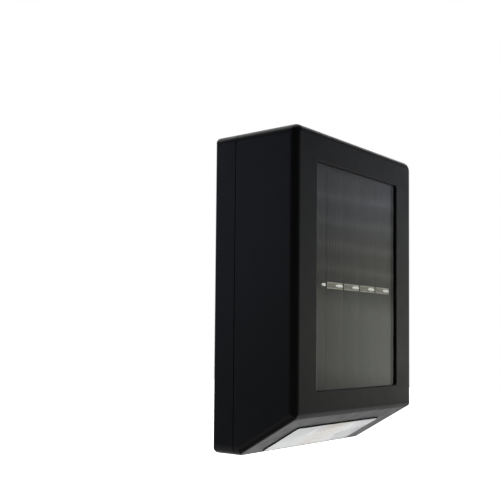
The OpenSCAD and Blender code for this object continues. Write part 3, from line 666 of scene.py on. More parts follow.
class Shaper:
    """Collects surfaces in one bmesh and turns them into an object."""

    def __init__(self) -> None:
        """Starts empty."""
        self.mesh = bmesh.new()

    def verts(self, ring: Sequence[Vector]) -> list[bmesh.types.BMVert]:
        """Adds a ring's points."""
        return [self.mesh.verts.new(p) for p in ring]

    def skin(
        self, low: Sequence[bmesh.types.BMVert], high: Sequence[bmesh.types.BMVert], closed: bool = True
    ) -> None:
        """Joins two rings of the same count with quads.

        Args:
            low: The first ring.
            high: The second ring.
            closed: Whether the rings go all the way round.
        """
        count = len(low)
        for k in range(count if closed else count - 1):
            m = (k + 1) % count
            self.mesh.faces.new((low[k], low[m], high[m], high[k]))

    def loft(
        self, rings: Sequence[Ring], ends: tuple[bool, bool] = (True, True)
    ) -> list[list[bmesh.types.BMVert]]:
        """Skins rings of the same count in order.

        Args:
            rings: The rings' points.
            ends: Whether the first and last rings are closed with a face.

        Returns:
            The rings' vertices.
        """
        made = [self.verts(r) for r in rings]
        for low, high in zip(made, made[1:]):
            self.skin(low, high)
        if ends[0]:
            self.mesh.faces.new(list(reversed(made[0])))
        if ends[1]:
            self.mesh.faces.new(made[-1])
        return made

    def panel(
        self, outer: Sequence[bmesh.types.BMVert], holes: Sequence[Sequence[bmesh.types.BMVert]]
    ) -> None:
        """Fills a flat face that has holes in it.

        Args:
            outer: Its outer ring's vertices.
            holes: Each hole's ring of vertices.
        """
        loops = [list(outer), *[list(h) for h in holes]]
        flat = [v for loop in loops for v in loop]
        for tri in tessellate_polygon([[v.co for v in loop] for loop in loops]):
            corners = [flat[k] for k in tri]
            if len(set(corners)) == 3:
                self.mesh.faces.new(corners)

    def slab(self, low: Vector, high: Vector, ease: float) -> None:
        """Adds a box with eased edges.

        Args:
            low: Its lowest corner.
            high: Its highest corner.
            ease: The size of the eased edges.
        """
        middle, size = (low + high) / 2, high - low
        heights = ((low.z, ease), (low.z + ease, 0.0), (high.z - ease, 0.0), (high.z, ease))
        self.loft(
            [
                [
                    Vector((middle.x + x, middle.y + y, z))
                    for x, y in rounded_outline(size.x - 2 * cut, size.y - 2 * cut, ease, 3)
                ]
                for z, cut in heights
            ]
        )

    def lathe(self, profile: Sequence[tuple[float, float]], sides: int = 48) -> None:
        """Turns a profile round Z, and closes it on the axis at both ends.

        Args:
            profile: Pairs of radius and height, from the bottom to the top.
            sides: How many facets go round.
        """
        self.loft([at_height(circle(r, sides), z) for r, z in profile])

    def pipe(self, path: Sequence[Vector], radius: float, sides: int = 14) -> None:
        """Sweeps a round section along a path.

        Args:
            path: The points of the centre line.
            radius: The section's radius.
            sides: How many facets go round.
        """
        last = len(path) - 1
        along = [(path[min(i + 1, last)] - path[max(i - 1, 0)]).normalized() for i in range(last + 1)]
        side = along[0].orthogonal().normalized()
        rings = []
        for point, way in zip(path, along):
            side = (side - way * side.dot(way)).normalized()
            other = way.cross(side)
            rings.append(
                [point + radius * (math.cos(t) * side + math.sin(t) * other) for t in
                 (2 * math.pi * k / sides for k in range(sides))]
            )
        self.loft(rings)

    def finish(self, name: str, crease: float = 32.0, stand: Matrix | None = None) -> bpy.types.Object:
        """Cleans the mesh and makes an object of it.

        Args:
            name: The object's name.
            crease: The angle in degrees above which an edge stays sharp.
            stand: Where the shape stands, as a matrix.

        Returns:
            The new object, with its place in its mesh.
        """
        bmesh.ops.remove_doubles(self.mesh, verts=self.mesh.verts, dist=1e-7)
        bmesh.ops.recalc_face_normals(self.mesh, faces=self.mesh.faces)
        limit = math.radians(crease)
        for edge in self.mesh.edges:
            edge.smooth = len(edge.link_faces) == 2 and edge.calc_face_angle(0.0) < limit
        for face in self.mesh.faces:
            face.smooth = True
        if stand is not None:
            self.mesh.transform(stand)
        data = bpy.data.meshes.new(name)
        self.mesh.to_mesh(data)
        self.mesh.free()
        made = bpy.data.objects.new(name, data)
        bpy.context.scene.collection.objects.link(made)
        return made


@dataclass(frozen=True)
class Piece:
    """One made object, with its finish, the body it joins, a slot name and the nodes it stands for."""

    thing: bpy.types.Object
    finish: Finish
    body: Body
    slot: str
    stands_for: tuple[str, ...] = ()

    def join(self) -> bpy.types.Object:
        """Dresses the object and joins it to its body."""
        self.thing.data.materials.clear()
        self.thing.data.materials.append(self.finish.material())
        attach(self.thing, self.body.value)
        if self.stands_for:
            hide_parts(*self.stands_for)
        LOG.info("piece %s rides on %s", self.thing.name, self.body.value)
        return self.thing


def dress(finish: Finish, *nodes: str) -> None:
    """Gives carried-over nodes a finish.

    Args:
        finish: The finish to wear.
        *nodes: The nodes' names.
    """
    for name in nodes:
        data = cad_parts[name].data
        data.materials.clear()
        data.materials.append(finish.material())
        LOG.info("node %s wears %s", name, finish.name)


@dataclass(frozen=True)
class Slant:
    """The slanted underside as a frame: X to the right, Y up the slant, Z out of the housing."""

    matrix: Matrix

    @classmethod
    def of_board(cls, node: str, shell: str) -> "Slant":
        """Finds the slant from a flat board that lies along it.

        Args:
            node: The board's node.
            shell: The node whose slanted face is at height 0.

        Returns:
            The slant, with its origin under the middle of the board.
        """
        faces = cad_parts[node].data.polygons
        out = max((f for f in faces if f.normal.z < -0.1), key=lambda f: f.area).normal.normalized()
        across = Vector((1.0, 0.0, 0.0))
        up = out.cross(across).normalized()
        low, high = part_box(node)
        skins = (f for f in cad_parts[shell].data.polygons if f.normal.dot(out) > SAME_WAY)
        top = max(f.center.dot(out) for f in skins)
        middle = (low + high) / 2
        middle += out * (top - middle.dot(out))
        turn = Matrix((across, up, out)).transposed().to_4x4()
        return cls(Matrix.Translation(middle) @ turn)

    def extent(self, node: str) -> tuple[Vector, Vector]:
        """Gives a node's lowest and highest corner in the slant's own axes."""
        back = self.matrix.inverted()
        points = [back @ v.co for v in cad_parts[node].data.vertices]
        return (
            Vector(min(p[k] for p in points) for k in range(3)),
            Vector(max(p[k] for p in points) for k in range(3)),
        )


# ---- Sub-assemblies ----


@dataclass
class Enclosure:
    """The two halves of the housing with their gasket and screws."""

    shells: tuple[str, ...] = ("front_housing", "rear_cover", "battery_door")

    def build(self) -> None:
        """Dresses the shells, which keep their own shapes."""
        dress(Finishes.housing, *self.shells)
        dress(Finishes.gasket, "housing_gasket")
        dress(Finishes.screw, "housing_screws", "reflector_screws", "board_screws")


@dataclass
class SolarPanel:
    """Pane, backing and four cells with their printed fingers, contact pads and ribbons."""

    finger_pitch: float = 1.78 * MM
    dome_rows: int = 7
    dome_step: float = 14.5
    dome_sides: int = 40
    dome_smooth: float = 50
    pad_share: float = 0.8
    finger_w: float = 0.16 * MM
    finger_h: float = 0.02 * MM
    finger_stop: float = 0.9 * MM
    pad_rail: float = 0.3 * MM
    pad_rung: float = 0.26 * MM
    pad_rungs: int = 12
    pad_base: float = 0.05 * MM
    dome: float = 0.34 * MM
    dome_share: float = 0.86
    cell_ease: float = 0.03 * MM
    resin_ease: float = 0.01 * MM

    def build(self) -> None:
        """Builds the cells and what is printed and soldered on them."""
        dress(Finishes.pane, "panel_window")
        dress(Finishes.tape, "panel_tape")
        dress(Finishes.backing, "panel_board")
        cells = self.islands("solar_cells")
        strips = self.islands("cell_ribbons")
        heights = [high.z - low.z for low, high in strips]
        pad_height = max(heights)
        pads = [s for s in strips if s[1].z - s[0].z > self.pad_share * pad_height]
        ribbons = [s for s in strips if s[1].z - s[0].z <= self.pad_share * pad_height]
        self.wafers(cells)
        self.resin(cells)
        self.fingers(cells, pads[0])
        self.pads(pads)
        self.domes(ribbons, pads)

    def islands(self, node: str) -> list[tuple[Vector, Vector]]:
        """Finds the boxes of a node's separate parts, from left to right.

        Args:
            node: The node's name.

        Returns:
            The lowest and highest corner of each part.
        """
        work = bmesh.new()
        work.from_mesh(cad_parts[node].data)
        bmesh.ops.remove_doubles(work, verts=work.verts, dist=1e-6)
        left, found = set(work.verts), []
        while left:
            group, edge_of = set(), [left.pop()]
            while edge_of:
                vert = edge_of.pop()
                group.add(vert)
                for edge in vert.link_edges:
                    other = edge.other_vert(vert)
                    if other in left:
                        left.discard(other)
                        edge_of.append(other)
            found.append(
                (
                    Vector(min(v.co[k] for v in group) for k in range(3)),
                    Vector(max(v.co[k] for v in group) for k in range(3)),
                )
            )
        work.free()
        return sorted(found, key=lambda pair: pair[0].x)

    def wafers(self, cells: list[tuple[Vector, Vector]]) -> None:
        """Cuts the cells as plates with eased edges."""
        shaper = Shaper()
        for low, high in cells:
            shaper.slab(low, high, self.cell_ease)
        Piece(shaper.finish("silicon_cells"), Finishes.cell, Body.HOUSING, "cell", ("solar_cells",)).join()

    def resin(self, cells: list[tuple[Vector, Vector]]) -> None:
        """Fills the gaps between the cells with dark resin, a little below their faces.

        Args:
            cells: The cells' boxes.
        """
        shaper = Shaper()
        for (low, high), (after, _) in zip(cells, cells[1:]):
            shaper.slab(
                Vector((high.x + self.resin_ease, low.y + self.resin_ease, low.z + self.cell_ease)),
                Vector((after.x - self.resin_ease, high.y - self.resin_ease, high.z - self.cell_ease)),
                self.resin_ease * 0.5,
            )
        Piece(shaper.finish("cell_resin"), Finishes.backing, Body.HOUSING, "panel_back").join()

    def fingers(self, cells: list[tuple[Vector, Vector]], pad: tuple[Vector, Vector]) -> None:
        """Prints thin upright silver lines on each cell.

        Args:
            cells: The cells' boxes.
            pad: The first pad's box; not used.
        """
        shaper = Shaper()
        for low, high in cells:
            count = int((high.x - low.x - self.finger_stop) / self.finger_pitch)
            start = (low.x + high.x - count * self.finger_pitch) / 2
            for k in range(count + 1):
                x = start + k * self.finger_pitch
                shaper.slab(
                    Vector((x - self.finger_w / 2, low.y - self.finger_h, low.z + self.finger_stop)),
                    Vector((x + self.finger_w / 2, low.y + self.finger_h, high.z - self.finger_stop)),
                    self.finger_h * 0.6,
                )
        Piece(shaper.finish("cell_fingers"), Finishes.finger, Body.HOUSING, "ribbon").join()

    def pads(self, pads: list[tuple[Vector, Vector]]) -> None:
        """Builds each contact pad as a thin plate with rails and rungs on it."""
        base, bars = Shaper(), Shaper()
        for low, high in pads:
            back, face = high.y, high.y - self.pad_base * 2
            base.slab(
                Vector((low.x, face + self.pad_base, low.z)),
                Vector((high.x, back, high.z)),
                self.pad_base * 0.4,
            )
            for z in (low.z, high.z - self.pad_rail):
                bars.slab(
                    Vector((low.x, face, z)),
                    Vector((high.x, back, z + self.pad_rail)),
                    self.pad_base * 0.5,
                )
            pitch = (high.x - low.x - self.pad_rung) / (self.pad_rungs - 1)
            for k in range(self.pad_rungs):
                x = low.x + k * pitch
                bars.slab(
                    Vector((x, face + self.pad_base * 0.3, low.z)),
                    Vector((x + self.pad_rung, back, high.z)),
                    self.pad_base * 0.5,
                )
        first = base.finish("contact_pads")
        Piece(first, Finishes.pad, Body.HOUSING, "ribbon", ("cell_ribbons",)).join()
        Piece(bars.finish("contact_bars"), Finishes.pad_bar, Body.HOUSING, "ribbon").join()

    def domes(self, ribbons: list[tuple[Vector, Vector]], pads: list[tuple[Vector, Vector]]) -> None:
        """Builds the soldered ribbon ends as long low domes with round ends.

        Args:
            ribbons: The boxes of the ribbons beside the cells.
            pads: The pads' boxes, each with a ribbon on its right end.
        """
        shaper = Shaper()
        width = ribbons[0][1].z - ribbons[0][0].z
        runs = [(low.x, high.x, high.y, (low.z + high.z) / 2) for low, high in ribbons]
        for low, high in pads:
            middle = (low.z + high.z) / 2
            runs.append((high.x - self.ribbon_length, high.x, high.y - 2 * self.pad_base, middle))
        for x0, x1, y, z in runs:
            turn = Matrix.Translation(((x0 + x1) / 2, y, z)) @ Matrix.Rotation(math.radians(90), 4, "X")
            rings = []
            for step in range(self.dome_rows):
                lean = math.radians(self.dome_step * step)
                reach, half = (x1 - x0) / 2 * math.cos(lean), width * self.dome_share / 2 * math.cos(lean)
                rings.append(
                    [
                        turn @ Vector((reach * math.cos(t), half * math.sin(t), self.dome * math.sin(lean)))
                        for t in (2 * math.pi * k / self.dome_sides for k in range(self.dome_sides))
                    ]
                )
            shaper.loft(rings)
        thing = shaper.finish("soldered_ribbons", self.dome_smooth)
        Piece(thing, Finishes.ribbon, Body.HOUSING, "ribbon").join()

    @property
    def ribbon_length(self) -> float:
        """Length of the ribbon on a pad."""
        return 5.0 * MM


@dataclass
class LampHead:
    """Lens, reflector, lamp board and light emitting diodes under the slanted face."""

    slant: Slant
    lens_ease: float = 0.12 * MM
    rib_pitch: float = 1.1 * MM
    rib_depth: float = 0.1 * MM
    ridge_w: float = 5.0 * MM
    ridge_l: float = 9.0 * MM
    ridge_h: float = 0.8 * MM
    ridge_share: float = 0.21
    ridge_inset: float = 3.0 * MM
    tray_wall: float = 1.0 * MM
    tray_steps: int = 8
    lamp_hole: float = 3.9 * MM
    cup_r: float = 1.9 * MM
    cup_deep: float = 0.5 * MM
    cup_sides: int = 32
    gel_profile: tuple[tuple[float, float], ...] = (
        (0.8, 0.95), (0.97, 0.25), (0.8, 0.05), (0.5, -0.15), (0.15, -0.22),
    )
    seal_w: float = 0.3 * MM
    seal_gap: float = 0.1 * MM
    seal_sink: float = 0.04 * MM
    seal_deep: float = 1.5 * MM
    lens_columns: int = 168
    lens_rows: int = 56
    lens_smooth: float = 28
    tray_corner: float = 1.8 * MM
    tray_smooth: float = 32
    hole_sides: int = 36
    ear_under: float = 3.1 * MM
    ear_foot: float = 4.6 * MM
    ear_half: float = 3.2 * MM
    corner: float = 1.2 * MM

    def build(self) -> None:
        """Builds the lens, the tray and the lamps."""
        self.lens()
        self.seal()
        self.tray()
        self.lamps()
        dress(Finishes.lamp_board, "led_board")

    def ribs(self, x: float, y: float, width: float, front: float) -> float:
        """Gives the depth of the lens's inner relief at a point.

        Args:
            x: Across the lens.
            y: Up the slant.
            width: The plug's width.
            front: The plug's front edge.

        Returns:
            How far the relief stands out, in metres.
        """
        saw = ((x + 0.6 * y) / self.rib_pitch) % 1.0
        deep = self.rib_depth * (1 - abs(2 * saw - 1))
        for sign in (-1, 1):
            off = abs(x - sign * self.ridge_share * width) / (self.ridge_w / 2)
            along = (front - self.ridge_inset - y) / self.ridge_l
            if off < 1 and -0.1 < along < 1.1:
                ends = min(1.0, (along + 0.1) / 0.15, (1.1 - along) / 0.15)
                deep = max(deep, self.ridge_h * math.sqrt(max(0.0, 1 - off * off)) * ends)
        return deep

    def lens(self) -> None:
        """Builds the clear lens as one closed body: plug, flange and ribbed inner face."""
        low, high = self.slant.extent("light_lens")
        wall = high.z - self.flange_top
        shaper = Shaper()
        plug_low, plug_high = self.plug()
        middle = (plug_low + plug_high) / 2
        size = plug_high - plug_low
        outline = rounded_outline(size[0], size[1], self.corner)
        rings = []
        seat = self.seal_w - self.seal_gap
        for z, cut in (
            (self.flange_top, 0.0),
            (-self.seal_deep, 0.0),
            (-self.seal_deep, seat),
            (high.z - self.lens_ease, seat),
            (high.z - self.lens_ease * 0.3, seat + self.lens_ease * 0.3),
            (high.z, seat + self.lens_ease),
        ):
            scale_x, scale_y = 1 - 2 * cut / size[0], 1 - 2 * cut / size[1]
            rings.append([Vector((middle[0] + x * scale_x, middle[1] + y * scale_y, z)) for x, y in outline])
        plug = shaper.loft(rings, (False, True))
        columns, rows = self.lens_columns, self.lens_rows
        inner = -self.flange_thick() + self.flange_top
        grid = []
        for row in range(rows + 1):
            y = low.y + (self.flange_high() - low.y) * row / rows
            line = []
            for column in range(columns + 1):
                x = low.x + (high.x - low.x) * column / columns
                edge = row in (0, rows) or column in (0, columns)
                deep = 0.0 if edge else self.ribs(x, y, size[0], plug_high[1])
                line.append(shaper.mesh.verts.new((x, y, inner - deep)))
            grid.append(line)
        for row in range(rows):
            for column in range(columns):
                near, far = grid[row], grid[row + 1]
                shaper.mesh.faces.new((near[column], far[column], far[column + 1], near[column + 1]))
        edge = (
            grid[0][:-1]
            + [grid[row][-1] for row in range(rows)]
            + list(reversed(grid[-1][1:]))
            + [grid[row][0] for row in range(rows, 0, -1)]
        )
        top = shaper.verts([Vector((v.co.x, v.co.y, self.flange_top)) for v in edge])
        shaper.skin(edge, top)
        shaper.panel(top, [plug[0]])
        LOG.info("lens plug is %.1f mm thick", wall / MM)
        thing = shaper.finish("clear_lens", self.lens_smooth, self.slant.matrix)
        Piece(thing, Finishes.lens, Body.HOUSING, "lens", ("light_lens",)).join()

    def seal(self) -> None:
        """Lays a thin black seal in the gap between the lens and the housing."""
        low, high = self.plug()
        middle, size = (low + high) / 2, high - low
        top, foot = self.slant.extent("light_lens")[1].z - self.seal_sink, 0.05 * MM - self.seal_deep
        grow = self.seal_gap * 0.9
        shrink = self.seal_w - self.seal_gap - 0.02 * MM
        rings = []
        for z, cut in ((foot, -grow), (top - grow, -grow), (top, -grow * 0.4), (top, shrink * 0.8),
                       (top - grow, shrink), (foot, shrink), (foot, -grow)):
            outline = rounded_outline(size[0] - 2 * cut, size[1] - 2 * cut, self.corner)
            rings.append([Vector((middle[0] + x, middle[1] + y, z)) for x, y in outline])
        shaper = Shaper()
        shaper.loft(rings, (False, False))
        thing = shaper.finish("lens_seal", SMOOTH_TURN, self.slant.matrix)
        Piece(thing, Finishes.lens_seal, Body.HOUSING, "gasket").join()

    def plug(self) -> tuple[Vector, Vector]:
        """Finds the lens's outer face, as its lowest and highest X and Y on the slant."""
        back = self.slant.matrix.inverted()
        points = [back @ v.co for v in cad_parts["light_lens"].data.vertices]
        top = [p for p in points if p.z > -0.01 * MM]
        return (
            Vector((min(p.x for p in top), min(p.y for p in top))),
            Vector((max(p.x for p in top), max(p.y for p in top))),
        )

    @property
    def flange_top(self) -> float:
        """Height of the flange's front, on the slant."""
        back = self.slant.matrix.inverted()
        edge = self.plug()[0][0] - 0.5 * MM
        points = (back @ v.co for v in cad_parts["light_lens"].data.vertices)
        return max(p.z for p in points if p.x < edge)

    def flange_thick(self) -> float:
        """Thickness of the flange."""
        return 1.2 * MM

    def flange_high(self) -> float:
        """Front edge of the flange, on the slant."""
        return self.slant.extent("light_lens")[1].y

    def tray(self) -> None:
        """Builds the reflector as a smooth tray with lamp holes in its floor."""
        low, high = self.slant.extent("reflector")
        plug_low, plug_high = self.plug()
        width = plug_high[0] - plug_low[0] - 2.1 * MM
        length = plug_high[1] - plug_low[1] - 2.1 * MM
        middle = ((plug_low[0] + plug_high[0]) / 2, (plug_low[1] + plug_high[1]) / 2)
        board_low, board_high = self.slant.extent("led_board")
        floor_w, floor_l = board_high.x - board_low.x - 2 * MM, board_high.y - board_low.y - 2 * MM
        top, bottom = high.z, board_high.z
        floor = bottom + self.tray_wall
        shaper = Shaper()

        def ring(w: float, l: float, r: float, z: float) -> Ring:
            """Places a rounded rectangle on the slant."""
            return [Vector((middle[0] + x, middle[1] + y, z)) for x, y in rounded_outline(w, l, r)]

        inside = []
        for step in range(self.tray_steps + 1):
            share = step / self.tray_steps
            swell = math.sin(share * math.pi / 2)
            inside.append(
                ring(
                    floor_w + (width - 2 * self.tray_wall - floor_w) * (0.25 * swell + 0.75 * share),
                    floor_l + (length - 2 * self.tray_wall - floor_l) * (0.25 * swell + 0.75 * share),
                    (1.0 + 0.8 * share) * MM,
                    floor + (top - floor) * share,
                )
            )
        inner = shaper.loft(inside, (False, False))
        rim = shaper.verts(ring(width, length, self.tray_corner, top))
        shaper.skin(inner[-1], rim)
        foot = shaper.verts(ring(width, length, self.tray_corner, bottom))
        shaper.skin(rim, foot)
        holes_top, holes_low = [], []
        for x, y in self.lamp_places():
            spot = circle(self.lamp_hole, self.hole_sides, (x, y))
            upper, lower = shaper.verts(at_height(spot, floor)), shaper.verts(at_height(spot, bottom))
            shaper.skin(upper, lower)
            holes_top.append(upper)
            holes_low.append(lower)
        shaper.panel(inner[0], holes_top)
        shaper.panel(foot, holes_low)
        for sign in (Side.LEFT, Side.RIGHT):
            inner_x, outer_x = sign.value * (width / 2 - 0.5 * MM), high.x if sign is Side.RIGHT else low.x
            ear_top, ear_low = top - self.ear_under, top - self.ear_foot
            shaper.slab(
                Vector((min(inner_x, outer_x), middle[1] - self.ear_half, ear_low)),
                Vector((max(inner_x, outer_x), middle[1] + self.ear_half, ear_top)),
                0.3 * MM,
            )
        thing = shaper.finish("reflector_tray", self.tray_smooth, self.slant.matrix)
        Piece(thing, Finishes.reflector, Body.HOUSING, "reflector", ("reflector",)).join()

    def lamp_places(self) -> list[tuple[float, float]]:
        """Finds each lamp's centre on the slant, from left to right."""
        low, high = self.slant.extent("leds")
        side = high.y - low.y
        reach = (high.x - low.x - side) / 2
        middle = (low.y + high.y) / 2
        return [((low.x + high.x) / 2 + s * reach, middle) for s in (-1, 1)]

    def lamps(self) -> None:
        """Builds each lamp's package with a round cup, and the phosphor gel in it."""
        low, high = self.slant.extent("leds")
        side, top = high.y - low.y, high.z - 0.3 * MM
        packages, gel = Shaper(), Shaper()
        for x, y in self.lamp_places():
            outline = rounded_outline(side, side, 0.35 * MM, 5)
            outer = [[Vector((x + a, y + b, z)) for a, b in outline] for z in (low.z, top)]
            body = packages.loft(outer, (True, False))
            cup = [at_height(circle(r, self.cup_sides, (x, y)), z) for r, z in
                   ((self.cup_r, top), (self.cup_r * 0.8, top - self.cup_deep))]
            made = packages.loft(cup, (False, True))
            packages.panel(body[-1], [made[0]])
            fill = [
                at_height(circle(self.cup_r * share, self.cup_sides, (x, y)), top - self.cup_deep * drop)
                for share, drop in self.gel_profile
            ]
            gel.loft(fill)
        first = packages.finish("lamp_packages", SMOOTH_TURN, self.slant.matrix)
        Piece(first, Finishes.package, Body.HOUSING, "led", ("leds",)).join()
        second = gel.finish("lamp_phosphor", 60, self.slant.matrix)
        Piece(second, Finishes.phosphor, Body.HOUSING, "led").join()


@dataclass
class Controls:
    """The control board with its parts, the switch and the leads."""

    def build(self) -> None:
        """Dresses the board's parts, which keep their own shapes."""
        dress(Finishes.board, "control_board")
        dress(Finishes.chip, "driver_chip")
        dress(Finishes.ferrite, "driver_inductor")
        dress(Finishes.capacitor, "driver_capacitor")
        dress(Finishes.shell, "switch_body")
        dress(Finishes.knob, "switch_knob")
        dress(Finishes.lead, "solar_leads", "battery_leads", "lamp_leads")
        dress(Finishes.seal, "door_seal")


@dataclass
class BatteryBay:
    """The battery with its sleeve and steel ends, and its contacts."""

    shoulder: float = 0.9 * MM
    button_r: float = 2.6 * MM
    button_l: float = 1.2 * MM
    insulator_r: float = 4.4 * MM
    can_sides: int = 64
    wire: float = 0.35 * MM
    coil_r: float = 4.2 * MM
    coil_narrow: float = 1.4 * MM
    turns: float = 3.5
    turn_steps: int = 28

    def build(self) -> None:
        """Builds the battery and its spring."""
        self.battery()
        self.spring()
        dress(Finishes.contact, "battery_plate")

    def battery(self) -> None:
        """Turns the sleeve and the steel can, which shows at both ends."""
        low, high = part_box("battery_cell")
        radius, length = (high.z - low.z) / 2, high.x - low.x
        stand = Matrix.Translation((low.x, (low.y + high.y) / 2, (low.z + high.z) / 2)) @ Matrix.Rotation(
            math.radians(90), 4, "Y"
        )
        crown = length - self.button_l
        skin = 0.12 * MM
        can = Shaper()
        can.lathe(
            [
                (0.02 * MM, 0.15 * MM),
                (radius * 0.55, 0.15 * MM),
                (radius * 0.6, 0.0),
                (radius * 0.86, 0.0),
                (radius - skin, 0.35 * MM),
                (radius - skin, crown - self.shoulder),
                (radius * 0.8, crown - 0.25 * MM),
                (self.button_r + 0.5 * MM, crown - 0.1 * MM),
                (self.button_r, crown + 0.15 * MM),
                (self.button_r, length - 0.3 * MM),
                (self.button_r - 0.3 * MM, length),
                (0.02 * MM, length),
            ]
        )
        shell = can.finish("battery_can", SMOOTH_TURN, stand)
        Piece(shell, Finishes.can, Body.HOUSING, "battery", ("battery_cell",)).join()
        sleeve = Shaper()
        outside = [
            (radius * 0.9, 0.02 * MM),
            (radius - 0.25 * MM, 0.12 * MM),
            (radius, 0.55 * MM),
            (radius, crown - self.shoulder),
            (radius - 0.25 * MM, crown - 0.35 * MM),
            (self.insulator_r, crown),
        ]
        rings = [at_height(circle(r, self.can_sides), z) for r, z in outside]
        for r, z in reversed(outside[1:]):
            rings.append(at_height(circle(max(r - skin * 0.6, 0.1 * MM), self.can_sides), z - skin * 0.4))
        rings.append(at_height(circle(radius * 0.9 - skin * 0.6, self.can_sides), 0.05 * MM))
        made = sleeve.loft(rings, (False, False))
        sleeve.skin(made[-1], made[0])
        wrap = sleeve.finish("battery_sleeve", SMOOTH_TURN, stand)
        Piece(wrap, Finishes.sleeve, Body.HOUSING, "battery").join()

    def spring(self) -> None:
        """Winds the spring smoothly and stands it on its contact plate."""
        low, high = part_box("battery_spring")
        cell_low, cell_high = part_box("battery_cell")
        plate = 0.4 * MM
        middle = (cell_low + cell_high) / 2
        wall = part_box("battery_plate")
        bay_end = -(wall[0].x + plate)
        shaper = Shaper()
        rise = cell_low.x - bay_end - 2 * self.wire
        count = int(self.turns * self.turn_steps)
        path = []
        for i in range(count + 1):
            turn, share = 2 * math.pi * i / self.turn_steps, i / count
            radius = self.coil_r - self.coil_narrow * share
            side, up = radius * math.cos(turn), radius * math.sin(turn)
            path.append(Vector((bay_end + self.wire + rise * share, middle.y + side, middle.z + up)))
        shaper.pipe(path, self.wire)
        half = 4.5 * MM
        tab = 1.5 * MM
        shaper.slab(
            Vector((bay_end - plate, middle.y - half, middle.z - half)),
            Vector((bay_end, middle.y + half, middle.z + half)),
            0.12 * MM,
        )
        tab_y = (-10.0) * MM
        shaper.slab(
            Vector((low.x, tab_y - plate / 2, middle.z - tab)),
            Vector((bay_end, tab_y + plate / 2, middle.z + tab)),
            0.12 * MM,
        )
        LOG.info("spring reaches from %.1f to %.1f mm", low.x / MM, high.x / MM)
        thing = shaper.finish("battery_coil", SMOOTH_TURN)
        Piece(thing, Finishes.contact, Body.HOUSING, "contact", ("battery_spring",)).join()


# ---- Studio ----


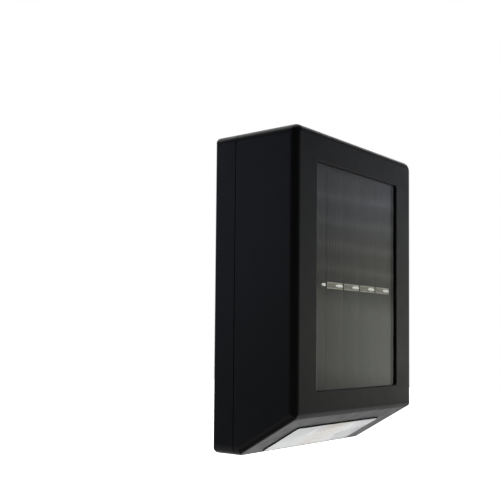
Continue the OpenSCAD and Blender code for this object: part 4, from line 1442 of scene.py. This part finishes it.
@dataclass
class Studio:
    """Floor, light, dark surroundings for reflections, and the camera."""

    floor_drop: float = 0.35
    floor_side: float = 12.0
    floor_glow: float = 0.85
    ambient: float = 0.6
    key_strength: float = 2.4
    key_from: tuple[float, float, float] = (0.45, -0.8, 0.7)
    key_angle: float = 55.0
    camera_place: tuple[float, float, float] = (-0.269913, -0.204909, -0.017907)
    camera_forward: tuple[float, float, float] = (0.794545, 0.605036, 0.051283)
    camera_up: tuple[float, float, float] = (-0.044923, -0.025653, 0.998661)
    camera_lens: float = 58.223
    camera_shift: tuple[float, float] = (-0.062, 0.1)
    wall_radius: float = 1.4
    screen_rings: tuple[tuple[float, float], ...] = (
        (1.4, -0.85), (1.4, 0.85), (1.3, 1.3), (0.9, 1.7), (0.3, 1.9),
    )
    card_rise: float = 0.01
    card_sides: int = 72
    screen_start: float = -168.0
    screen_stop: float = 84.0
    screen_columns: int = 84
    cool_low: float = 6.0
    cool_high: float = 11.0
    sensor: float = 36.0
    card_sweep: tuple[tuple[float, float], ...] = (
        (-180, 0.3), (0, 0.05), (35, 0.1), (50, 0.65), (65, 0.7), (90, 0.4), (105, 0.4), (110, 0.85),
        (140, 0.75), (180, 0.4),
    )
    card_reach: tuple[tuple[float, float], ...] = ((0, 1.0), (45, 0.95), (65, 0.15), (90, 0.1))
    front_low: Colour = (0.99, 1.01, 0.92)
    front_high: Colour = (0.96, 0.98, 1.08)
    front_sweep: tuple[tuple[float, float], ...] = (
        (-90, 0.0), (0, 0.0), (30, 0.15), (45, 0.4), (55, 0.85), (65, 1.6), (90, 1.7),
    )
    front_rise: tuple[tuple[float, float], ...] = (
        (-30, 0.2), (-7, 0.15), (-3, 0.6), (2, 0.6), (4, 0.33), (14, 0.33), (25, 0.05), (60, 0.0),
    )
    batten_first: float = 5.5
    batten_pitch: float = 2.0
    batten_count: int = 4
    batten_half: float = 0.5
    batten_floor: float = 0.33
    batten_gain: float = 0.14
    front_turn: float = 56.5
    front_tilt: float = 0.14
    front_sway: float = 0.35
    front_sway_size: float = 0.5
    side_tint: Colour = (0.86, 0.92, 1.14)
    side_sweep: tuple[tuple[float, float], ...] = (
        (-180, 0.4), (-135, 0.4), (-120, 0.15), (-105, 0.0), (90, 0.0),
    )
    side_rise: tuple[tuple[float, float], ...] = (
        (-30, 0.05), (-10, 0.2), (0, 0.55), (10, 0.95), (20, 0.9), (30, 0.2), (60, 0.0),
    )

    def build(self) -> None:
        """Sets up the whole studio."""
        self.world()
        self.floor()
        self.key()
        self.surroundings()
        self.card()
        self.camera()
        bpy.context.scene.view_settings.view_transform = "Standard"

    def seen(self, graph: Graph) -> bpy.types.NodeSocket:
        """Gives 1 for rays from the camera, from gloss and through clear plastic."""
        path = graph.add("LightPath")
        total = graph.sum("ADD", path.outputs["Is Camera Ray"], path.outputs["Is Glossy Ray"])
        total = graph.sum("ADD", total, path.outputs["Is Transmission Ray"])
        return graph.sum("MINIMUM", total, 1.0)

    def world(self) -> None:
        """Makes an even white world that lights softly."""
        made = bpy.data.worlds.new("studio")
        bpy.context.scene.world = made
        graph = Graph(made)
        soft = graph.feed(graph.add("Background"), Color=(0.96, 0.98, 1.0, 1.0), Strength=self.ambient)
        white = graph.feed(graph.add("Background"), Color=(1.0, 1.0, 1.0, 1.0), Strength=1.0)
        mix = graph.add("MixShader")
        for index, value in enumerate((self.seen(graph), soft.outputs[0], white.outputs[0])):
            graph.put(mix.inputs[index], value)
        graph.put(graph.add("OutputWorld").inputs[0], mix.outputs[0])

    def floor(self) -> None:
        """Lays a plain pale floor well below the light, which hangs."""
        shaper = Shaper()
        half = self.floor_side / 2
        z = CAD_BOX[0].z - self.floor_drop
        points = rounded_outline(2 * half, 2 * half, half * 0.2, 8)
        shaper.loft([at_height(points, z - 0.02), at_height(points, z)])
        thing = shaper.finish("floor")
        made = bpy.data.materials.new("floor_paper")
        graph = Graph(made)
        fibre = graph.spread(graph.noise(0.004, 4), 0.88, 0.92)
        tone = graph.blend(fibre, (0.0, 0.0, 0.0), (1.0, 1.0, 1.0))
        paper = graph.feed(graph.add("BsdfDiffuse"), Color=tone)
        glow = graph.add("Emission")
        glow.inputs["Strength"].default_value = self.floor_glow
        both = graph.add("AddShader")
        graph.put(both.inputs[0], paper.outputs[0])
        graph.put(both.inputs[1], glow.outputs[0])
        graph.put(graph.add("OutputMaterial").inputs[0], both.outputs[0])
        thing.data.materials.append(made)

    def key(self) -> None:
        """Hangs one wide soft lamp high on the front right."""
        lamp = bpy.data.lights.new("key", "SUN")
        lamp.energy = self.key_strength
        lamp.angle = math.radians(self.key_angle)
        thing = bpy.data.objects.new("key", lamp)
        thing.rotation_euler = Vector(self.key_from).to_track_quat("Z", "Y").to_euler()
        thing.visible_glossy = False
        bpy.context.scene.collection.objects.link(thing)

    def surroundings(self) -> None:
        """Stands a curved screen with a roof round the viewer's side, seen only in gloss."""
        shaper = Shaper()
        start, stop, columns = self.screen_start, self.screen_stop, self.screen_columns
        rings = []
        for radius, height in self.screen_rings:
            turns = (math.radians(start + (stop - start) * k / columns) for k in range(columns + 1))
            rings.append([Vector((radius * math.sin(t), -radius * math.cos(t), height)) for t in turns])
        made = [shaper.verts(r) for r in rings]
        for low, high in zip(made, made[1:]):
            shaper.skin(low, high, closed=False)
        thing = shaper.finish("dark_screen")
        thing.data.materials.append(self.screen_material())
        self.gloss_only(thing)

    def gloss_only(self, thing: bpy.types.Object) -> None:
        """Hides a thing of the stage from everything but gloss and what gloss shows through glass."""
        for flag in ("camera", "diffuse", "volume_scatter", "shadow"):
            setattr(thing, f"visible_{flag}", False)

    def card(self) -> None:
        """Lays a round grey card over the floor, darkest on the viewer's side."""
        shaper = Shaper()
        z = CAD_BOX[0].z - self.floor_drop + self.card_rise
        radii = (0.05, 0.5, 1.0, self.wall_radius)
        shaper.loft([at_height(circle(r, self.card_sides), z) for r in radii], (True, False))
        thing = shaper.finish("grey_card")
        made = bpy.data.materials.new("card_paint")
        graph = Graph(made)
        spot = graph.add("SeparateXYZ")
        graph.put(spot.inputs[0], graph.place())
        turn = graph.sum("ARCTAN2", spot.outputs[0], graph.sum("MULTIPLY", spot.outputs[1], -1.0))
        squares = [graph.sum("MULTIPLY", spot.outputs[k], spot.outputs[k]) for k in range(2)]
        away = graph.sum("POWER", graph.sum("ADD", *squares), 0.5)
        lean = graph.sum("ARCTAN2", self.floor_drop - self.card_rise, away)
        strength = graph.sum(
            "MULTIPLY", self.ramp(graph, turn, self.card_sweep), self.ramp(graph, lean, self.card_reach)
        )
        glow = graph.feed(graph.add("Emission"), Strength=strength)
        graph.put(graph.add("OutputMaterial").inputs[0], glow.outputs[0])
        thing.data.materials.append(made)
        self.gloss_only(thing)

    def screen_material(self) -> bpy.types.Material:
        """Paints the screen: how bright it is by direction and by height, in front and beside."""
        made = bpy.data.materials.new("screen_paint")
        graph = Graph(made)
        spot = graph.add("SeparateXYZ")
        graph.put(spot.inputs[0], graph.place())
        back = graph.sum("MULTIPLY", spot.outputs[1], -1.0)
        turn = graph.sum("ARCTAN2", spot.outputs[0], back)
        level = graph.sum("ARCTAN2", spot.outputs[2], self.wall_radius)
        off = graph.sum("SUBTRACT", turn, math.radians(self.front_turn))
        sway = math.radians(self.front_sway)
        wave = graph.spread(graph.noise(self.front_sway_size, 1), -sway, sway)
        tilted = graph.sum("ADD", level, graph.sum("ADD", graph.sum("MULTIPLY", off, self.front_tilt), wave))
        cool = graph.spread(level, 0.0, 1.0, math.radians(self.cool_low), math.radians(self.cool_high))
        front_tint = graph.blend(cool, self.front_low, self.front_high)
        parts = []
        for tint, sweep, rise, height in (
            (front_tint, self.front_sweep, self.battened_rise(), tilted),
            (rgba(self.side_tint), self.side_sweep, self.side_rise, level),
        ):
            around = self.ramp(graph, turn, sweep)
            tall = self.ramp(graph, height, rise)
            glow = graph.feed(graph.add("Emission"), Color=tint)
            graph.put(glow.inputs["Strength"], graph.sum("MULTIPLY", around, tall))
            parts.append(glow)
        both = graph.add("AddShader")
        for index, glow in enumerate(parts):
            graph.put(both.inputs[index], glow.outputs[0])
        graph.put(graph.add("OutputMaterial").inputs[0], both.outputs[0])
        return made

    def battened_rise(self) -> tuple[tuple[float, float], ...]:
        """Adds a row of evenly spaced light battens to the broad rise of the screen's front.

        Returns:
            Pairs of angle in degrees and brightness, in order.
        """
        stops = list(self.front_rise)
        for index in range(self.batten_count):
            middle = self.batten_first + index * self.batten_pitch
            stops += [(middle + side * self.batten_half, self.batten_floor) for side in (-1, 1)]
            stops.append((middle, self.batten_floor + self.batten_gain))
        return tuple(sorted(stops))

    def ramp(
        self, graph: Graph, angle: object, stops: Sequence[tuple[float, float]]
    ) -> bpy.types.NodeSocket:
        """Adds a ramp of brightness over a range of angles.

        Args:
            graph: The tree to add to.
            angle: The angle's socket, in radians.
            stops: Pairs of angle in degrees and brightness, in order.

        Returns:
            The brightness's socket.
        """
        start, end = stops[0][0], stops[-1][0]
        node = graph.add("ValToRGB")
        graph.put(node.inputs[0], graph.spread(angle, 0.0, 1.0, math.radians(start), math.radians(end)))
        elements = node.color_ramp.elements
        while len(elements) < len(stops):
            elements.new(0.5)
        for element, (place, _) in zip(elements, stops):
            element.position = (place - start) / (end - start)
        for element, (_, value) in zip(elements, stops):
            element.color = rgba((value, value, value))
        return node.outputs[0]

    def camera(self) -> None:
        """Stands the camera to the front left, a little below the light."""
        data = bpy.data.cameras.new("view")
        data.lens, data.sensor_width = self.camera_lens, self.sensor
        data.shift_x, data.shift_y = self.camera_shift
        data.clip_start, data.clip_end = 0.01, 50.0
        ahead = Vector(self.camera_forward).normalized()
        up = Vector(self.camera_up)
        up = (up - ahead * up.dot(ahead)).normalized()
        right = ahead.cross(up)
        thing = bpy.data.objects.new("view", data)
        turn = Matrix((right, up, -ahead)).transposed().to_4x4()
        thing.matrix_world = Matrix.Translation(self.camera_place) @ turn
        bpy.context.scene.collection.objects.link(thing)
        bpy.context.scene.camera = thing


def main() -> None:
    """Builds the light's pieces in order, then the studio."""
    logging.basicConfig(level=logging.INFO, format="%(message)s")
    slant = Slant.of_board("led_board", "front_housing")
    makers: list[Callable[[], None]] = [
        Enclosure().build,
        SolarPanel().build,
        LampHead(slant).build,
        Controls().build,
        BatteryBay().build,
        Studio().build,
    ]
    for make in makers:
        make()


if __name__ == "__main__":
    main()
